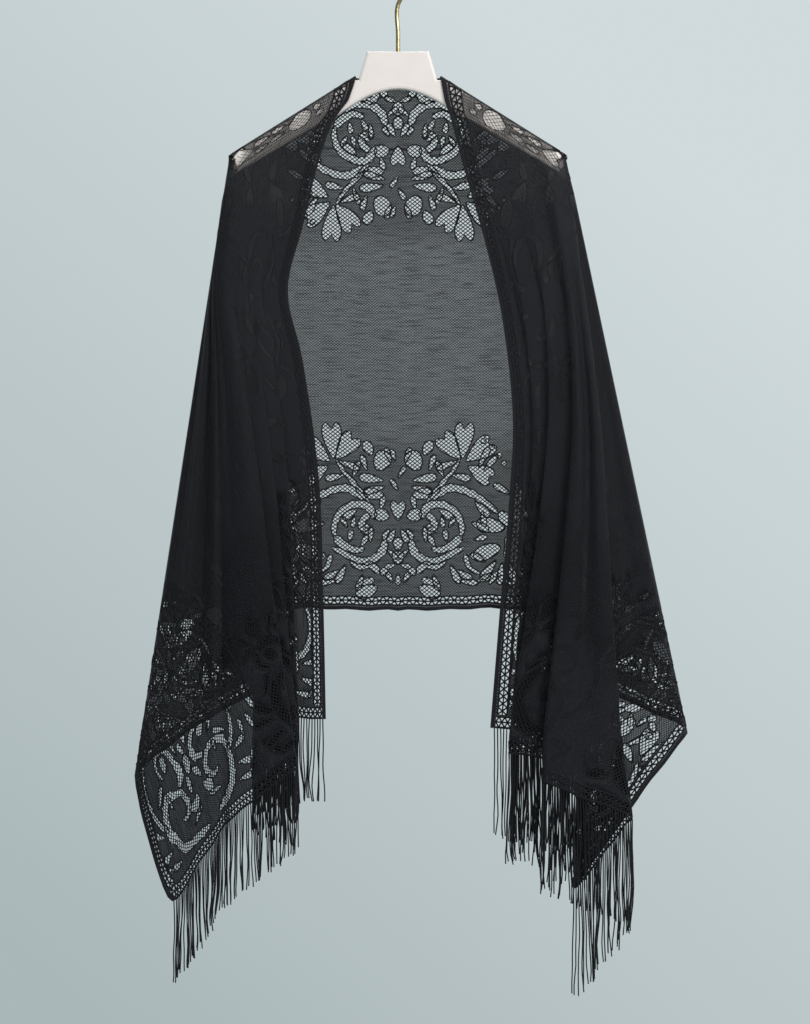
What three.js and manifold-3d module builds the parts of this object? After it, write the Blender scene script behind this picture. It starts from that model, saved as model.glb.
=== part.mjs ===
// A lace shawl that hangs over a clothes hanger, with the hanger and its hook.
// Millimetres, +Z up, the front faces -Y. The origin is the point of the hook that rests on a rail.
import * as THREE from "three";
import { mergeVertices } from "three/addons/utils/BufferGeometryUtils.js";
import Module from "manifold-3d";

// The cloth is one rectangle of lace. The wall is thicker than the lace, so that it is a solid.
const shawl = { halfLength: 825, width: 610, wall: 1.5 };
const seam = 0.3;

// The shoulder line is where the cloth bends over an arm of the hanger, from the neck to the tip.
const neck = { out: 49, high: -137.5 };
const tip = { out: 193.6, high: -228 };
const neckEdge = -139;
const bend = 7.5;
const tipRoundFrom = 0.93;

// How fast the folds open below the shoulder: sideways, and in depth.
const foldGrowth = 1.7;
const depthGrowth = 0.5;

// Each row is one fold or one bend of the cloth's edge:
// walk: distance along the edge from the middle of the back hem, round the corner to the inner corner
// out: distance from the middle of the hanger    deep: distance behind the hanger's middle plane
// low: height of the edge    top: place on the shoulder line, 0 neck to 1 tip
// turn: radius of a fold back, above 0 where the cloth goes on behind it and below 0 where it goes on in front
const leftBack = [
  { walk: 0, out: 0, deep: 13, low: -750, top: -0.339, turn: 0 },
  { walk: 44, out: 44, deep: 12, low: -748, top: -0.035, turn: 0 },
  { walk: 49, out: 49, deep: 12, low: -748, top: 0, turn: 0 },
  { walk: 150, out: 150, deep: 14, low: -747, top: 0.66, turn: 0 },
  { walk: 212, out: 200, deep: 17, low: -750, top: 0.72, turn: 3 },
  { walk: 275, out: 147, deep: 23, low: -756, top: 0.76, turn: 3 },
  { walk: 340, out: 203, deep: 29, low: -768, top: 0.8, turn: 3 },
  { walk: 405, out: 148, deep: 35, low: -788, top: 0.84, turn: 3 },
  { walk: 470, out: 204, deep: 41, low: -815, top: 0.88, turn: 3 },
  { walk: 524, out: 160, deep: 47, low: -842, top: 0.92, turn: 3 },
  { walk: 592, out: 226, deep: 47, low: -880, top: 0.96, turn: 0 },
  { walk: 676, out: 298, deep: 10, low: -932, top: 0.99, turn: 0 },
  { walk: 689, out: 301, deep: 0, low: -938, top: 1, turn: 0 },
];
const leftFront = [
  { walk: 689, out: 301, deep: 0, low: -938, top: 1, turn: 0 },
  { walk: 702, out: 299, deep: -9, low: -950, top: 0.99, turn: 0 },
  { walk: 757, out: 284, deep: -19, low: -1008, top: 0.98, turn: 0 },
  { walk: shawl.halfLength, out: 256, deep: -25, low: -1077, top: 0.96, turn: 0 },
  { walk: 878, out: 226, deep: -29, low: -1036, top: 0.93, turn: 0 },
  { walk: 931, out: 197, deep: -33, low: -993, top: 0.89, turn: 0 },
  { walk: 947, out: 190, deep: -41, low: -985, top: 0.87, turn: 0 },
  { walk: 992, out: 162, deep: -50, low: -961, top: 0.82, turn: 0 },
  { walk: 1050, out: 113, deep: -47, low: -925, top: 0.72, turn: 3 },
  { walk: 1108, out: 164, deep: -41, low: -905, top: 0.62, turn: 3 },
  { walk: 1165, out: 113, deep: -35, low: -893, top: 0.52, turn: 3 },
  { walk: 1223, out: 163, deep: -29, low: -884, top: 0.42, turn: 3 },
  { walk: 1281, out: 113, deep: -23, low: -878, top: 0.32, turn: 3 },
  { walk: 1338, out: 160, deep: -17, low: -874, top: 0.2, turn: 3 },
  { walk: 1396, out: 116, deep: -15, low: -870, top: 0.08, turn: 0 },
  { walk: shawl.halfLength + shawl.width, out: 82, deep: -16, low: -872, top: 0, turn: 0 },
];
const rightBack = [
  { walk: 0, out: 0, deep: 13, low: -750, top: -0.339, turn: 0 },
  { walk: 44, out: 44, deep: 12, low: -748, top: -0.035, turn: 0 },
  { walk: 49, out: 49, deep: 12, low: -748, top: 0, turn: 0 },
  { walk: 150, out: 150, deep: 14, low: -747, top: 0.66, turn: 0 },
  { walk: 205, out: 196, deep: 17, low: -750, top: 0.72, turn: 3 },
  { walk: 260, out: 150, deep: 23, low: -755, top: 0.77, turn: 3 },
  { walk: 319, out: 200, deep: 29, low: -765, top: 0.82, turn: 3 },
  { walk: 370, out: 158, deep: 35, low: -780, top: 0.86, turn: 3 },
  { walk: 418, out: 198, deep: 41, low: -797, top: 0.9, turn: 3 },
  { walk: 455, out: 172, deep: 47, low: -812, top: 0.93, turn: 3 },
  { walk: 517, out: 228, deep: 47, low: -838, top: 0.96, turn: 0 },
  { walk: 618, out: 328, deep: 10, low: -883, top: 0.99, turn: 0 },
  { walk: 632, out: 331, deep: 0, low: -888, top: 1, turn: 0 },
];
const rightFront = [
  { walk: 632, out: 331, deep: 0, low: -888, top: 1, turn: 0 },
  { walk: 645, out: 326, deep: -8, low: -894, top: 0.99, turn: 0 },
  { walk: 728, out: 266, deep: -10, low: -973, top: 0.98, turn: 0 },
  { walk: shawl.halfLength, out: 198, deep: -16, low: -1062, top: 0.96, turn: -6 },
  { walk: 938, out: 266, deep: -30, low: -985, top: 0.9, turn: -7 },
  { walk: 1049, out: 155, deep: -48, low: -939, top: 0.76, turn: 5 },
  { walk: 1095, out: 192, deep: -38, low: -925, top: 0.66, turn: 3 },
  { walk: 1178, out: 118, deep: -32, low: -908, top: 0.52, turn: 3 },
  { walk: 1259, out: 190, deep: -26, low: -896, top: 0.38, turn: 3 },
  { walk: 1333, out: 125, deep: -20.5, low: -888, top: 0.24, turn: 2.5 },
  { walk: 1382, out: 165, deep: -15.5, low: -884, top: 0.12, turn: 2.5 },
  { walk: shawl.halfLength + shawl.width, out: 105, deep: -14, low: -882, top: 0, turn: 0 },
];

// The upper long edge hangs from the neck in a bow of its own.
const leftInnerEdge = [
  { high: -137.5, out: 49 },
  { high: -212, out: 83 },
  { high: -312, out: 109 },
  { high: -384, out: 126 },
  { high: -461, out: 109 },
  { high: -599, out: 90 },
  { high: -734, out: 85 },
  { high: -872, out: 82 },
];
const rightInnerEdge = [
  { high: -137.5, out: 49 },
  { high: -224, out: 70 },
  { high: -334, out: 101 },
  { high: -415, out: 119 },
  { high: -528, out: 131 },
  { high: -633, out: 126 },
  { high: -748, out: 116 },
  { high: -882, out: 105 },
];

// Rows of the cloth from the shoulder down: degrees round the arm, then shares of the drop.
const bendAngles = [0, 50, 90];
const dropShares = [0.08, 0.2, 0.34, 0.5, 0.66, 0.83, 1];
const columnPitch = 27;

// The strip's ends stop short of the cloth's corners, and its strands a little more.
const fringe = {
  left: { strands: 100, length: 104 },
  right: { strands: 100, length: 118 },
  strip: 7,
  stripThick: 1.7,
  gap: 0.5,
  inset: 2,
  margin: 4,
  strandRadius: 0.8,
  tipShare: 0.6,
  rootDepth: 3,
  swayOut: 1.6,
  swayDeep: 0.7,
  lengthSpread: 0.05,
};

const hanger = {
  thick: 12,
  edge: 3,
  plateTop: -110,
  plateHalf: 35.5,
  flankHalf: 42.5,
  flankLow: -134,
  flankFoot: 45,
  clear: 2.6,
  armTall: 30,
  tipOut: 190,
  tipCorner: 8,
  tipShoulder: 5,
  tipFace: 8,
  tipUnder: 7,
  archHigh: -153,
  archOut: 70,
  archSteps: 8,
};
const hook = {
  rod: 5,
  insideRadius: 19,
  straightTo: -56,
  bendFrom: -40,
  bendTo: 205,
  bendStep: 17.5,
  socket: 16,
  tipGap: 1,
  sides: 10,
  steps: 44,
};

const colours = { lace: 0x17171a, hanger: 0xe6e0da, brass: 0xb59a5c };

const mix = (a, b, share) => a + (b - a) * share;

// A smooth curve through named rows: the value of one column at a place on another.
function follow(rows, by, name, place) {
  const rising = Math.sign(rows.at(-1)[by] - rows[0][by]);
  let i = 0;
  while (i < rows.length - 2 && (place - rows[i + 1][by]) * rising > 0) i += 1;
  const slope = (a, b) => (rows[b][name] - rows[a][name]) / (rows[b][by] - rows[a][by]);
  const step = rows[i + 1][by] - rows[i][by];
  const share = (place - rows[i][by]) / step;
  const leave = slope(Math.max(i - 1, 0), i + 1) * step;
  const arrive = slope(i, Math.min(i + 2, rows.length - 1)) * step;
  const gain = rows[i + 1][name] - rows[i][name];
  const curve = (leave + arrive - 2 * gain) * share + 3 * gain - 2 * leave - arrive;
  return rows[i][name] + (leave + curve * share) * share;
}

// A fold back is three knots: into the fold, its edge, and out of it.
function knotsOf(rows) {
  return rows.flatMap((row, i) => {
    if (!row.turn) return [row];
    const before = rows[i - 1];
    const after = rows[i + 1];
    const radius = Math.abs(row.turn);
    const inside = row.out - Math.sign(row.out - before.out) * radius;
    const reach = (Math.PI / 2) * radius;
    const beside = (way) => {
      const lean = (name) => (way * reach * (after[name] - before[name])) / (after.walk - before.walk);
      return {
        walk: row.walk + way * reach,
        out: inside,
        deep: row.deep + way * row.turn,
        low: row.low + lean("low"),
        top: row.top + lean("top"),
      };
    };
    return [beside(-1), row, beside(1)];
  });
}

// One hanging stretch of cloth on one side: foldsFrom is the walk where its folds begin.
function stretch(sign, rows, face, foldsFrom, innerEdge) {
  const knots = knotsOf(rows);
  const end = knots.at(-1);
  return { sign, rows, knots, face, foldsFrom, innerEdge, start: knots[0].walk, end: end.walk, endOut: end.out };
}

const stretches = {
  leftBack: stretch(-1, leftBack, 1, 150),
  leftFront: stretch(-1, leftFront, -1, leftFront[0].walk, leftInnerEdge),
  rightBack: stretch(1, rightBack, 1, 150),
  rightFront: stretch(1, rightFront, -1, rightFront[0].walk, rightInnerEdge),
};

// How far the inner edge bows out of its straight line, at one height.
function bowAt(cloth, high) {
  const edge = cloth.innerEdge;
  const first = edge[0];
  const last = edge.at(-1);
  const height = Math.max(high, last.high);
  const straight = mix(first.out, last.out, (height - first.high) / (last.high - first.high));
  return follow(edge, "high", "out", height) - straight;
}

// The middle of the wall, at a walk along the edge and a level: an angle round the arm or a share of the drop.
function place(cloth, walk, level) {
  const read = (name) => follow(cloth.knots, "walk", name, walk);
  const top = read("top");
  const onNeck = top < -1e-6;
  const round = Math.max(0, (top - tipRoundFrom) / (1 - tipRoundFrom));
  const half = Math.max(seam / 2, bend * Math.sqrt(Math.max(0, 1 - round * round)));
  const angle = THREE.MathUtils.degToRad(level.angle ?? 90);
  const startOut = mix(neck.out, tip.out, top);
  const startHigh = (onNeck ? neckEdge : mix(neck.high, tip.high, top)) - bend * (1 - Math.cos(angle));
  const startDeep = onNeck ? bend : Math.max(seam / 2, half * Math.sin(angle));
  if (level.share === undefined)
    return new THREE.Vector3(cloth.sign * startOut, cloth.face * startDeep, startHigh);

  const out = read("out");
  const along = Math.max(0, (walk - cloth.foldsFrom) / (cloth.end - cloth.foldsFrom));
  const foldStart = follow(cloth.knots, "walk", "out", cloth.foldsFrom);
  const calm = along > 0 ? mix(foldStart, cloth.endOut, along) : out;
  const calmDeep = follow(cloth.rows, "walk", "deep", walk);
  const foldDeep = (read("deep") - calmDeep) * level.share ** foldGrowth;
  const z = mix(startHigh, read("low"), level.share);
  const bow = cloth.innerEdge ? bowAt(cloth, z) * along : 0;
  const x = mix(startOut, calm, level.share) + (out - calm) * level.share ** foldGrowth + bow;
  const y = mix(cloth.face * startDeep, calmDeep, level.share ** depthGrowth) + foldDeep;
  return new THREE.Vector3(cloth.sign * x, cloth.face * Math.max(seam / 2, cloth.face * y), z);
}

// Places along the edge: every knot, and enough between two knots for a smooth run.
function stations(cloth, from = cloth.start, to = cloth.end) {
  const stops = [from, ...cloth.knots.map((knot) => knot.walk).filter((w) => w > from && w < to), to];
  const list = [from];
  for (let i = 1; i < stops.length; i += 1) {
    const gap = stops[i] - stops[i - 1];
    const parts = Math.max(1, Math.round(gap / columnPitch));
    for (let k = 1; k <= parts; k += 1) list.push(stops[i - 1] + (gap * k) / parts);
  }
  return list;
}

const levels = [
  ...bendAngles.map((angle) => ({ angle })),
  ...dropShares.map((share) => ({ share })),
];

// A closed wall of even thickness round a grid of points, given as columns of rows.
// A face of 1 or -1 keeps the wall on its own side of the seams in the hanger's middle plane.
function wallOf(grid, thickness, face = 0) {
  const wide = grid.length;
  const tall = grid[0].length;
  const at = (c, r) => grid[Math.min(Math.max(c, 0), wide - 1)][Math.min(Math.max(r, 0), tall - 1)];
  const normalAt = (c, r) => {
    const across = at(c + 1, r).clone().sub(at(c - 1, r));
    const down = at(c, r + 1).clone().sub(at(c, r - 1));
    return across.cross(down).normalize();
  };
  const points = [];
  for (const way of [1, -1])
    for (let c = 0; c < wide; c += 1)
      for (let r = 0; r < tall; r += 1) {
        const point = at(c, r).clone().addScaledVector(normalAt(c, r), (way * thickness) / 2);
        if (face) point.y = face * Math.max(seam / 2, face * point.y);
        points.push(point.x, point.y, point.z);
      }
  const id = (c, r, back) => (back ? wide * tall : 0) + c * tall + r;
  const faces = [];
  const quad = (a, b, c, d) => faces.push(a, b, c, a, c, d);
  for (let c = 0; c < wide - 1; c += 1)
    for (let r = 0; r < tall - 1; r += 1) {
      quad(id(c, r), id(c, r + 1), id(c + 1, r + 1), id(c + 1, r));
      quad(id(c, r, true), id(c + 1, r, true), id(c + 1, r + 1, true), id(c, r + 1, true));
    }
  for (let c = 0; c < wide - 1; c += 1) {
    quad(id(c, 0), id(c + 1, 0), id(c + 1, 0, true), id(c, 0, true));
    quad(id(c, tall - 1), id(c, tall - 1, true), id(c + 1, tall - 1, true), id(c + 1, tall - 1));
  }
  for (let r = 0; r < tall - 1; r += 1) {
    quad(id(0, r), id(0, r, true), id(0, r + 1, true), id(0, r + 1));
    quad(id(wide - 1, r), id(wide - 1, r + 1), id(wide - 1, r + 1, true), id(wide - 1, r, true));
  }
  const geometry = new THREE.BufferGeometry();
  geometry.setAttribute("position", new THREE.Float32BufferAttribute(points, 3));
  geometry.setIndex(faces);
  return facingOut(geometry);
}

// The signed volume of a closed mesh tells whether its faces point out; they are turned where they don't.
function facingOut(geometry) {
  const points = geometry.getAttribute("position");
  const faces = geometry.index.array;
  const corner = (i) => new THREE.Vector3().fromBufferAttribute(points, faces[i]);
  let volume = 0;
  for (let i = 0; i < faces.length; i += 3) volume += corner(i).dot(corner(i + 1).cross(corner(i + 2)));
  if (volume < 0)
    for (let i = 0; i < faces.length; i += 3) [faces[i + 1], faces[i + 2]] = [faces[i + 2], faces[i + 1]];
  geometry.computeVertexNormals();
  return geometry;
}

function gridOf(cloth, walks) {
  return walks.map((walk) => levels.map((level) => place(cloth, walk, level)));
}

function clothBack() {
  const left = gridOf(stretches.leftBack, stations(stretches.leftBack)).reverse();
  const right = gridOf(stretches.rightBack, stations(stretches.rightBack)).slice(1);
  return wallOf([...left, ...right], shawl.wall, 1);
}

function clothFront(cloth) {
  return wallOf(gridOf(cloth, stations(cloth)), shawl.wall, -1);
}

const wasm = await Module();
wasm.setup();

function solidOf(geometry) {
  const bare = new THREE.BufferGeometry();
  bare.setAttribute("position", geometry.getAttribute("position").clone());
  if (geometry.index) bare.setIndex(geometry.index.clone());
  const merged = mergeVertices(bare, 1e-4);
  const vertProperties = new Float32Array(merged.attributes.position.array);
  const triVerts = new Uint32Array(merged.index.array);
  return new wasm.Manifold(new wasm.Mesh({ numProp: 3, vertProperties, triVerts }));
}

function geometryOf(solid) {
  const mesh = solid.getMesh();
  const geometry = new THREE.BufferGeometry();
  geometry.setAttribute("position", new THREE.BufferAttribute(mesh.vertProperties, 3));
  geometry.setIndex(new THREE.BufferAttribute(mesh.triVerts, 1));
  geometry.computeVertexNormals();
  return geometry;
}

// A repeatable spread between -1 and 1 for the n-th strand.
const scatter = (n, seed) => 2 * THREE.MathUtils.seededRandom(n * 977 + seed * 131) - 1;

// One three-sided strand that hangs from a root, a little off the plumb line.
function strand(root, length, n, seed) {
  const sway = new THREE.Vector3(fringe.swayOut * scatter(n, seed), fringe.swayDeep * scatter(n, seed + 1), 0);
  const spots = [0, 0.45, 1].map((share) =>
    root.clone().addScaledVector(sway, share ** 1.5).add(new THREE.Vector3(0, 0, -length * share)),
  );
  const widths = [1, 1, fringe.tipShare];
  const points = spots.flatMap((spot, i) =>
    [90, 210, 330].flatMap((degrees) => {
      const angle = THREE.MathUtils.degToRad(degrees);
      const radius = fringe.strandRadius * widths[i];
      return [spot.x + radius * Math.cos(angle), spot.y + radius * Math.sin(angle), spot.z];
    }),
  );
  const faces = [0, 1, 2, 6, 8, 7];
  for (let ring = 0; ring < 2; ring += 1)
    for (let side = 0; side < 3; side += 1) {
      const a = ring * 3 + side;
      const b = ring * 3 + ((side + 1) % 3);
      faces.push(a, a + 3, b + 3, a, b + 3, b);
    }
  const geometry = new THREE.BufferGeometry();
  geometry.setAttribute("position", new THREE.Float32BufferAttribute(points, 3));
  geometry.setIndex(faces);
  return solidOf(facingOut(geometry));
}

// The fringe of one short end: a narrow strip under the hem, and the strands that hang from it.
function fringeOf(cloth, size, seed) {
  const from = shawl.halfLength + fringe.inset;
  const to = cloth.end - fringe.inset;
  const walks = stations(cloth, from, to);
  const hem = walks.map((walk) => place(cloth, walk, { share: 1 }));
  const under = (point, drop) => point.clone().add(new THREE.Vector3(0, 0, -drop));
  const stripLow = fringe.gap + fringe.strip;
  const grid = hem.map((point) => [under(point, fringe.gap), under(point, stripLow)]);
  const step = (to - from - 2 * fringe.margin) / (size.strands - 1);
  const strands = [];
  for (let n = 0; n < size.strands; n += 1) {
    const walk = from + fringe.margin + n * step;
    const next = walks.findIndex((w) => w > walk);
    const share = (walk - walks[next - 1]) / (walks[next] - walks[next - 1]);
    const root = under(hem[next - 1].clone().lerp(hem[next], share), stripLow - fringe.rootDepth);
    const length = size.length * (1 + fringe.lengthSpread * scatter(n, seed + 2));
    strands.push(strand(root, length, n, seed));
  }
  return geometryOf(wasm.Manifold.union([solidOf(wallOf(grid, fringe.stripThick)), ...strands]));
}

// The hanger's board: a neck plate that flares into two arms over an arch.
function hangerBoard() {
  const inset = hanger.edge;
  const slope = (tip.high - neck.high) / (tip.out - neck.out);
  const armTop = (out) => neck.high + slope * (out - neck.out) - hanger.clear;
  const tipHigh = armTop(hanger.tipOut) - hanger.tipShoulder;
  const flankTo = hanger.flankFoot - neck.out;
  const right = [
    [hanger.plateHalf, hanger.plateTop],
    [hanger.flankHalf, hanger.flankLow],
    [hanger.flankFoot, armTop(neck.out - flankTo)],
    [neck.out - flankTo, armTop(neck.out - flankTo)],
    [hanger.tipOut - hanger.tipCorner, armTop(hanger.tipOut - hanger.tipCorner)],
    [hanger.tipOut, tipHigh],
    [hanger.tipOut, tipHigh - hanger.tipFace],
    [hanger.tipOut - hanger.tipUnder, tipHigh - hanger.tipFace - hanger.tipUnder],
  ];
  const archLow = armTop(hanger.archOut) - hanger.armTall;
  const arch = [];
  for (let step = 0; step <= hanger.archSteps; step += 1) {
    const share = step / hanger.archSteps;
    arch.push([hanger.archOut * (1 - share), mix(archLow, hanger.archHigh, Math.sin((share * Math.PI) / 2))]);
  }
  const half = [...right, ...arch];
  const mirrored = half.slice(0, -1).reverse().map(([x, z]) => [-x, z]);
  const outline = [...half, ...mirrored];
  const shape = new THREE.Shape(shrink(outline, inset).map(([x, z]) => new THREE.Vector2(x, z)));
  const board = new THREE.ExtrudeGeometry(shape, {
    depth: hanger.thick - 2 * inset,
    bevelThickness: inset,
    bevelSize: inset,
    bevelSegments: 2,
  });
  board.translate(0, 0, -(hanger.thick - 2 * inset) / 2);
  board.rotateX(Math.PI / 2);
  const hole = new THREE.CylinderGeometry(hook.rod / 2 + seam, hook.rod / 2 + seam, 2 * hook.socket, 16);
  hole.rotateX(Math.PI / 2);
  hole.translate(0, 0, hanger.plateTop);
  return geometryOf(solidOf(board).subtract(solidOf(hole)));
}

// The same outline, moved inwards by a distance, which the bevel adds again.
function shrink(outline, distance) {
  const count = outline.length;
  return outline.map((point, i) => {
    const before = new THREE.Vector2(...outline[(i + count - 1) % count]);
    const here = new THREE.Vector2(...point);
    const after = new THREE.Vector2(...outline[(i + 1) % count]);
    const into = here.clone().sub(before).normalize();
    const away = after.clone().sub(here).normalize();
    const normal = new THREE.Vector2(into.y + away.y, -into.x - away.x).normalize();
    const stretchBy = distance / Math.max(0.5, normal.dot(new THREE.Vector2(into.y, -into.x)));
    const moved = here.addScaledVector(normal, stretchBy);
    return [moved.x, moved.y];
  });
}

// The hook: a straight rod out of the plate, then a round bend whose inner top is the origin.
function hookRod() {
  const radius = hook.insideRadius + hook.rod / 2;
  const centre = -hook.insideRadius;
  const low = hanger.plateTop - hook.socket + hook.tipGap;
  const spine = [0, 0.5, 1].map((share) => [0, mix(low, hook.straightTo, share)]);
  for (let degrees = hook.bendFrom; degrees <= hook.bendTo; degrees += hook.bendStep) {
    const angle = THREE.MathUtils.degToRad(degrees);
    spine.push([radius * Math.cos(angle), centre + radius * Math.sin(angle)]);
  }
  const path = new THREE.CatmullRomCurve3(spine.map(([x, z]) => new THREE.Vector3(x, 0, z)));
  const section = new THREE.Shape();
  for (let side = 0; side < hook.sides; side += 1) {
    const angle = (side / hook.sides) * 2 * Math.PI;
    section[side ? "lineTo" : "moveTo"]((hook.rod / 2) * Math.cos(angle), (hook.rod / 2) * Math.sin(angle));
  }
  return new THREE.ExtrudeGeometry(section, { extrudePath: path, steps: hook.steps, bevelEnabled: false });
}

function finish(colour, roughness, metalness) {
  return new THREE.MeshStandardMaterial({ color: colour, roughness, metalness });
}

const part = new THREE.Group();
function add(name, geometry, material) {
  const mesh = new THREE.Mesh(geometry, material);
  mesh.name = name;
  part.add(mesh);
}

add("cloth_back", clothBack(), finish(colours.lace, 0.9, 0));
add("cloth_front_left", clothFront(stretches.leftFront), finish(colours.lace, 0.9, 0));
add("cloth_front_right", clothFront(stretches.rightFront), finish(colours.lace, 0.9, 0));
add("fringe_left", fringeOf(stretches.leftFront, fringe.left, 1), finish(colours.lace, 0.8, 0));
add("fringe_right", fringeOf(stretches.rightFront, fringe.right, 5), finish(colours.lace, 0.8, 0));
add("hanger_board", hangerBoard(), finish(colours.hanger, 0.45, 0));
add("hanger_hook", hookRod(), finish(colours.brass, 0.3, 1));

export default part;
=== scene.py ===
# %% [markdown]
# # A lace shawl on a hanger
# The object is one rectangle of black lace, hung over a clothes hanger so that both ends fall to the front.
# The CAD model gives the hanger, the places and the big folds. This file gives the looks: the lace with its
# net, flowers and cords, the fringe, and the finish of the hanger. Everything is in metres when it reaches
# Blender. The tables below are in millimetres, because that is how a maker measures cloth.

# %% Load the frame
import math

import bpy
import numpy as np
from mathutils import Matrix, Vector
from mathutils.bvhtree import BVHTree
from mathutils.geometry import delaunay_2d_cdt


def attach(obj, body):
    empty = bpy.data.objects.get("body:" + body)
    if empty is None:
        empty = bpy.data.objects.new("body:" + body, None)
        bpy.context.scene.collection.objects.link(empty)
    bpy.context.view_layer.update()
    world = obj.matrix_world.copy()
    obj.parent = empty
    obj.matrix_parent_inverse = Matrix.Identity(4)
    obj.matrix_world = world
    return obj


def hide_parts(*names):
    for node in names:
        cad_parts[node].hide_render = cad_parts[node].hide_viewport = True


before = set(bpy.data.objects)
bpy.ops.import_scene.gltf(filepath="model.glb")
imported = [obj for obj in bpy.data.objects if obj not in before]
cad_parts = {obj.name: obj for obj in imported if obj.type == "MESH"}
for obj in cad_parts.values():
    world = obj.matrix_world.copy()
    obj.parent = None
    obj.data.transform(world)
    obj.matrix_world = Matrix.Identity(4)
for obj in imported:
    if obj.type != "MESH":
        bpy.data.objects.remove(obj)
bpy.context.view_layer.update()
MM = 0.001

# %% [markdown]
# ## The camera
# The photograph looks straight at the hanger from about 3.2 m. One pixel is 1.139 mm at the cloth, so the
# picture's 1024 pixels are 1.166 m high there. A long lens keeps the folds in their true proportions.

# %% Camera
PIXEL_MM = 1.139
PICTURE_HIGH = 1024
VIEW_DISTANCE = 3.2
SCALE_PLANE_Y = -0.012
PICTURE_CENTRE = (0.008, -0.636)

camera_data = bpy.data.cameras.new("camera")
camera = bpy.data.objects.new("camera", camera_data)
bpy.context.scene.collection.objects.link(camera)
camera.location = (PICTURE_CENTRE[0], -VIEW_DISTANCE, PICTURE_CENTRE[1])
camera.rotation_euler = (math.radians(90), 0, 0)
seen_high = PIXEL_MM * MM * PICTURE_HIGH
camera_data.lens = camera_data.sensor_width * (VIEW_DISTANCE + SCALE_PLANE_Y) / seen_high
camera_data.clip_end = 50
bpy.context.scene.camera = camera
print("lens", round(camera_data.lens, 1), "mm")

# %% [markdown]
# ## How the cloth hangs
# The cloth is a rectangle, and it doesn't stretch much. It bends over the hanger's arms along two shoulder
# lines, from the neck to the tip. From there each thread falls to the cloth's edge along a ray. Walking
# along the edge, from the middle of the back hem round the corner to the inner corner, each row below says
# where a fold or a bend of the edge is. The rows follow the ones of the CAD model, so the lace lies on it,
# and only the hidden folds at the right reach further out here. Cloth simulation could find such folds too,
# but rows keep them where the photograph has them.

# %% Sizes and fold tables
HALF_LENGTH = 825.0
WIDTH = 610.0
END_WALK = HALF_LENGTH + WIDTH
NECK = (49.0, -137.5)
TIP = (193.6, -228.0)
SHOULDER_WIDE = TIP[0] - NECK[0]
SHOULDER_TALL = NECK[1] - TIP[1]
NECK_EDGE = -139.0
BEND = 7.5
TIP_ROUND_FROM = 0.93
FOLD_GROWTH = 1.7
DEPTH_GROWTH = 0.5

# walk: how far along the edge. out: sideways from the middle. deep: towards the back. low: the height.
# top: the place on the shoulder line, 0 at the neck and 1 at the tip. turn: the radius of a fold back, after
# which the cloth goes on further behind, or further in front if it is minus.
COLUMNS = ("walk", "out", "deep", "low", "top", "turn")
LEFT_BACK = [
    (0, 0, 13, -750, -0.339, 0),
    (44, 44, 12, -748, -0.035, 0),
    (49, 49, 12, -748, 0, 0),
    (150, 150, 14, -747, 0.66, 0),
    (212, 200, 17, -750, 0.72, 3),
    (275, 147, 23, -756, 0.76, 3),
    (340, 203, 29, -768, 0.8, 3),
    (405, 148, 35, -788, 0.84, 3),
    (470, 204, 41, -815, 0.88, 3),
    (524, 160, 47, -842, 0.92, 3),
    (592, 226, 47, -880, 0.96, 0),
    (676, 298, 10, -932, 0.99, 0),
    (689, 301, 0, -938, 1, 0),
]
LEFT_FRONT = [
    (689, 301, 0, -938, 1, 0),
    (702, 299, -9, -950, 0.99, 0),
    (757, 284, -19, -1008, 0.98, 0),
    (HALF_LENGTH, 256, -25, -1077, 0.96, 0),
    (878, 226, -29, -1036, 0.93, 0),
    (931, 197, -33, -993, 0.89, 0),
    (947, 190, -41, -985, 0.87, 0),
    (992, 162, -50, -961, 0.82, 0),
    (1050, 113, -47, -925, 0.72, 3),
    (1108, 164, -41, -905, 0.62, 3),
    (1165, 113, -35, -893, 0.52, 3),
    (1223, 163, -29, -884, 0.42, 3),
    (1281, 113, -23, -878, 0.32, 3),
    (1338, 160, -17, -874, 0.2, 3),
    (1396, 116, -15, -870, 0.08, 0),
    (END_WALK, 82, -16, -872, 0, 0),
]
RIGHT_BACK = [
    (0, 0, 13, -750, -0.339, 0),
    (44, 44, 12, -748, -0.035, 0),
    (49, 49, 12, -748, 0, 0),
    (150, 150, 14, -747, 0.66, 0),
    (205, 196, 17, -750, 0.72, 3),
    (260, 154, 23, -755, 0.77, 3),
    (319, 213, 29, -765, 0.82, 3),
    (370, 166, 35, -780, 0.86, 3),
    (418, 214, 41, -797, 0.9, 3),
    (455, 180, 47, -812, 0.93, 3),
    (517, 228, 47, -838, 0.96, 0),
    (618, 328, 10, -883, 0.99, 0),
    (632, 331, 0, -888, 1, 0),
]
RIGHT_FRONT = [
    (632, 331, 0, -888, 1, 0),
    (645, 326, -8, -894, 0.99, 0),
    (728, 266, -10, -973, 0.98, 0),
    (HALF_LENGTH, 198, -16, -1062, 0.96, -6),
    (938, 266, -30, -985, 0.9, -7),
    (1049, 162, -48, -939, 0.76, 5),
    (1095, 216, -35, -925, 0.66, 3),
    (1178, 125, -32, -908, 0.52, 3),
    (1259, 212, -26, -896, 0.38, 3),
    (1333, 128, -20.5, -888, 0.24, 2.5),
    (1382, 165, -15.5, -884, 0.12, 2.5),
    (END_WALK, 105, -14, -882, 0, 0),
]

EDGE_COLUMNS = ("high", "out")
LEFT_INNER_EDGE = [
    (-137.5, 49),
    (-212, 83),
    (-312, 109),
    (-384, 126),
    (-461, 109),
    (-599, 90),
    (-734, 85),
    (-872, 82),
]
RIGHT_INNER_EDGE = [
    (-137.5, 49),
    (-224, 70),
    (-334, 101),
    (-415, 119),
    (-528, 131),
    (-633, 126),
    (-748, 116),
    (-882, 105),
]


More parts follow.
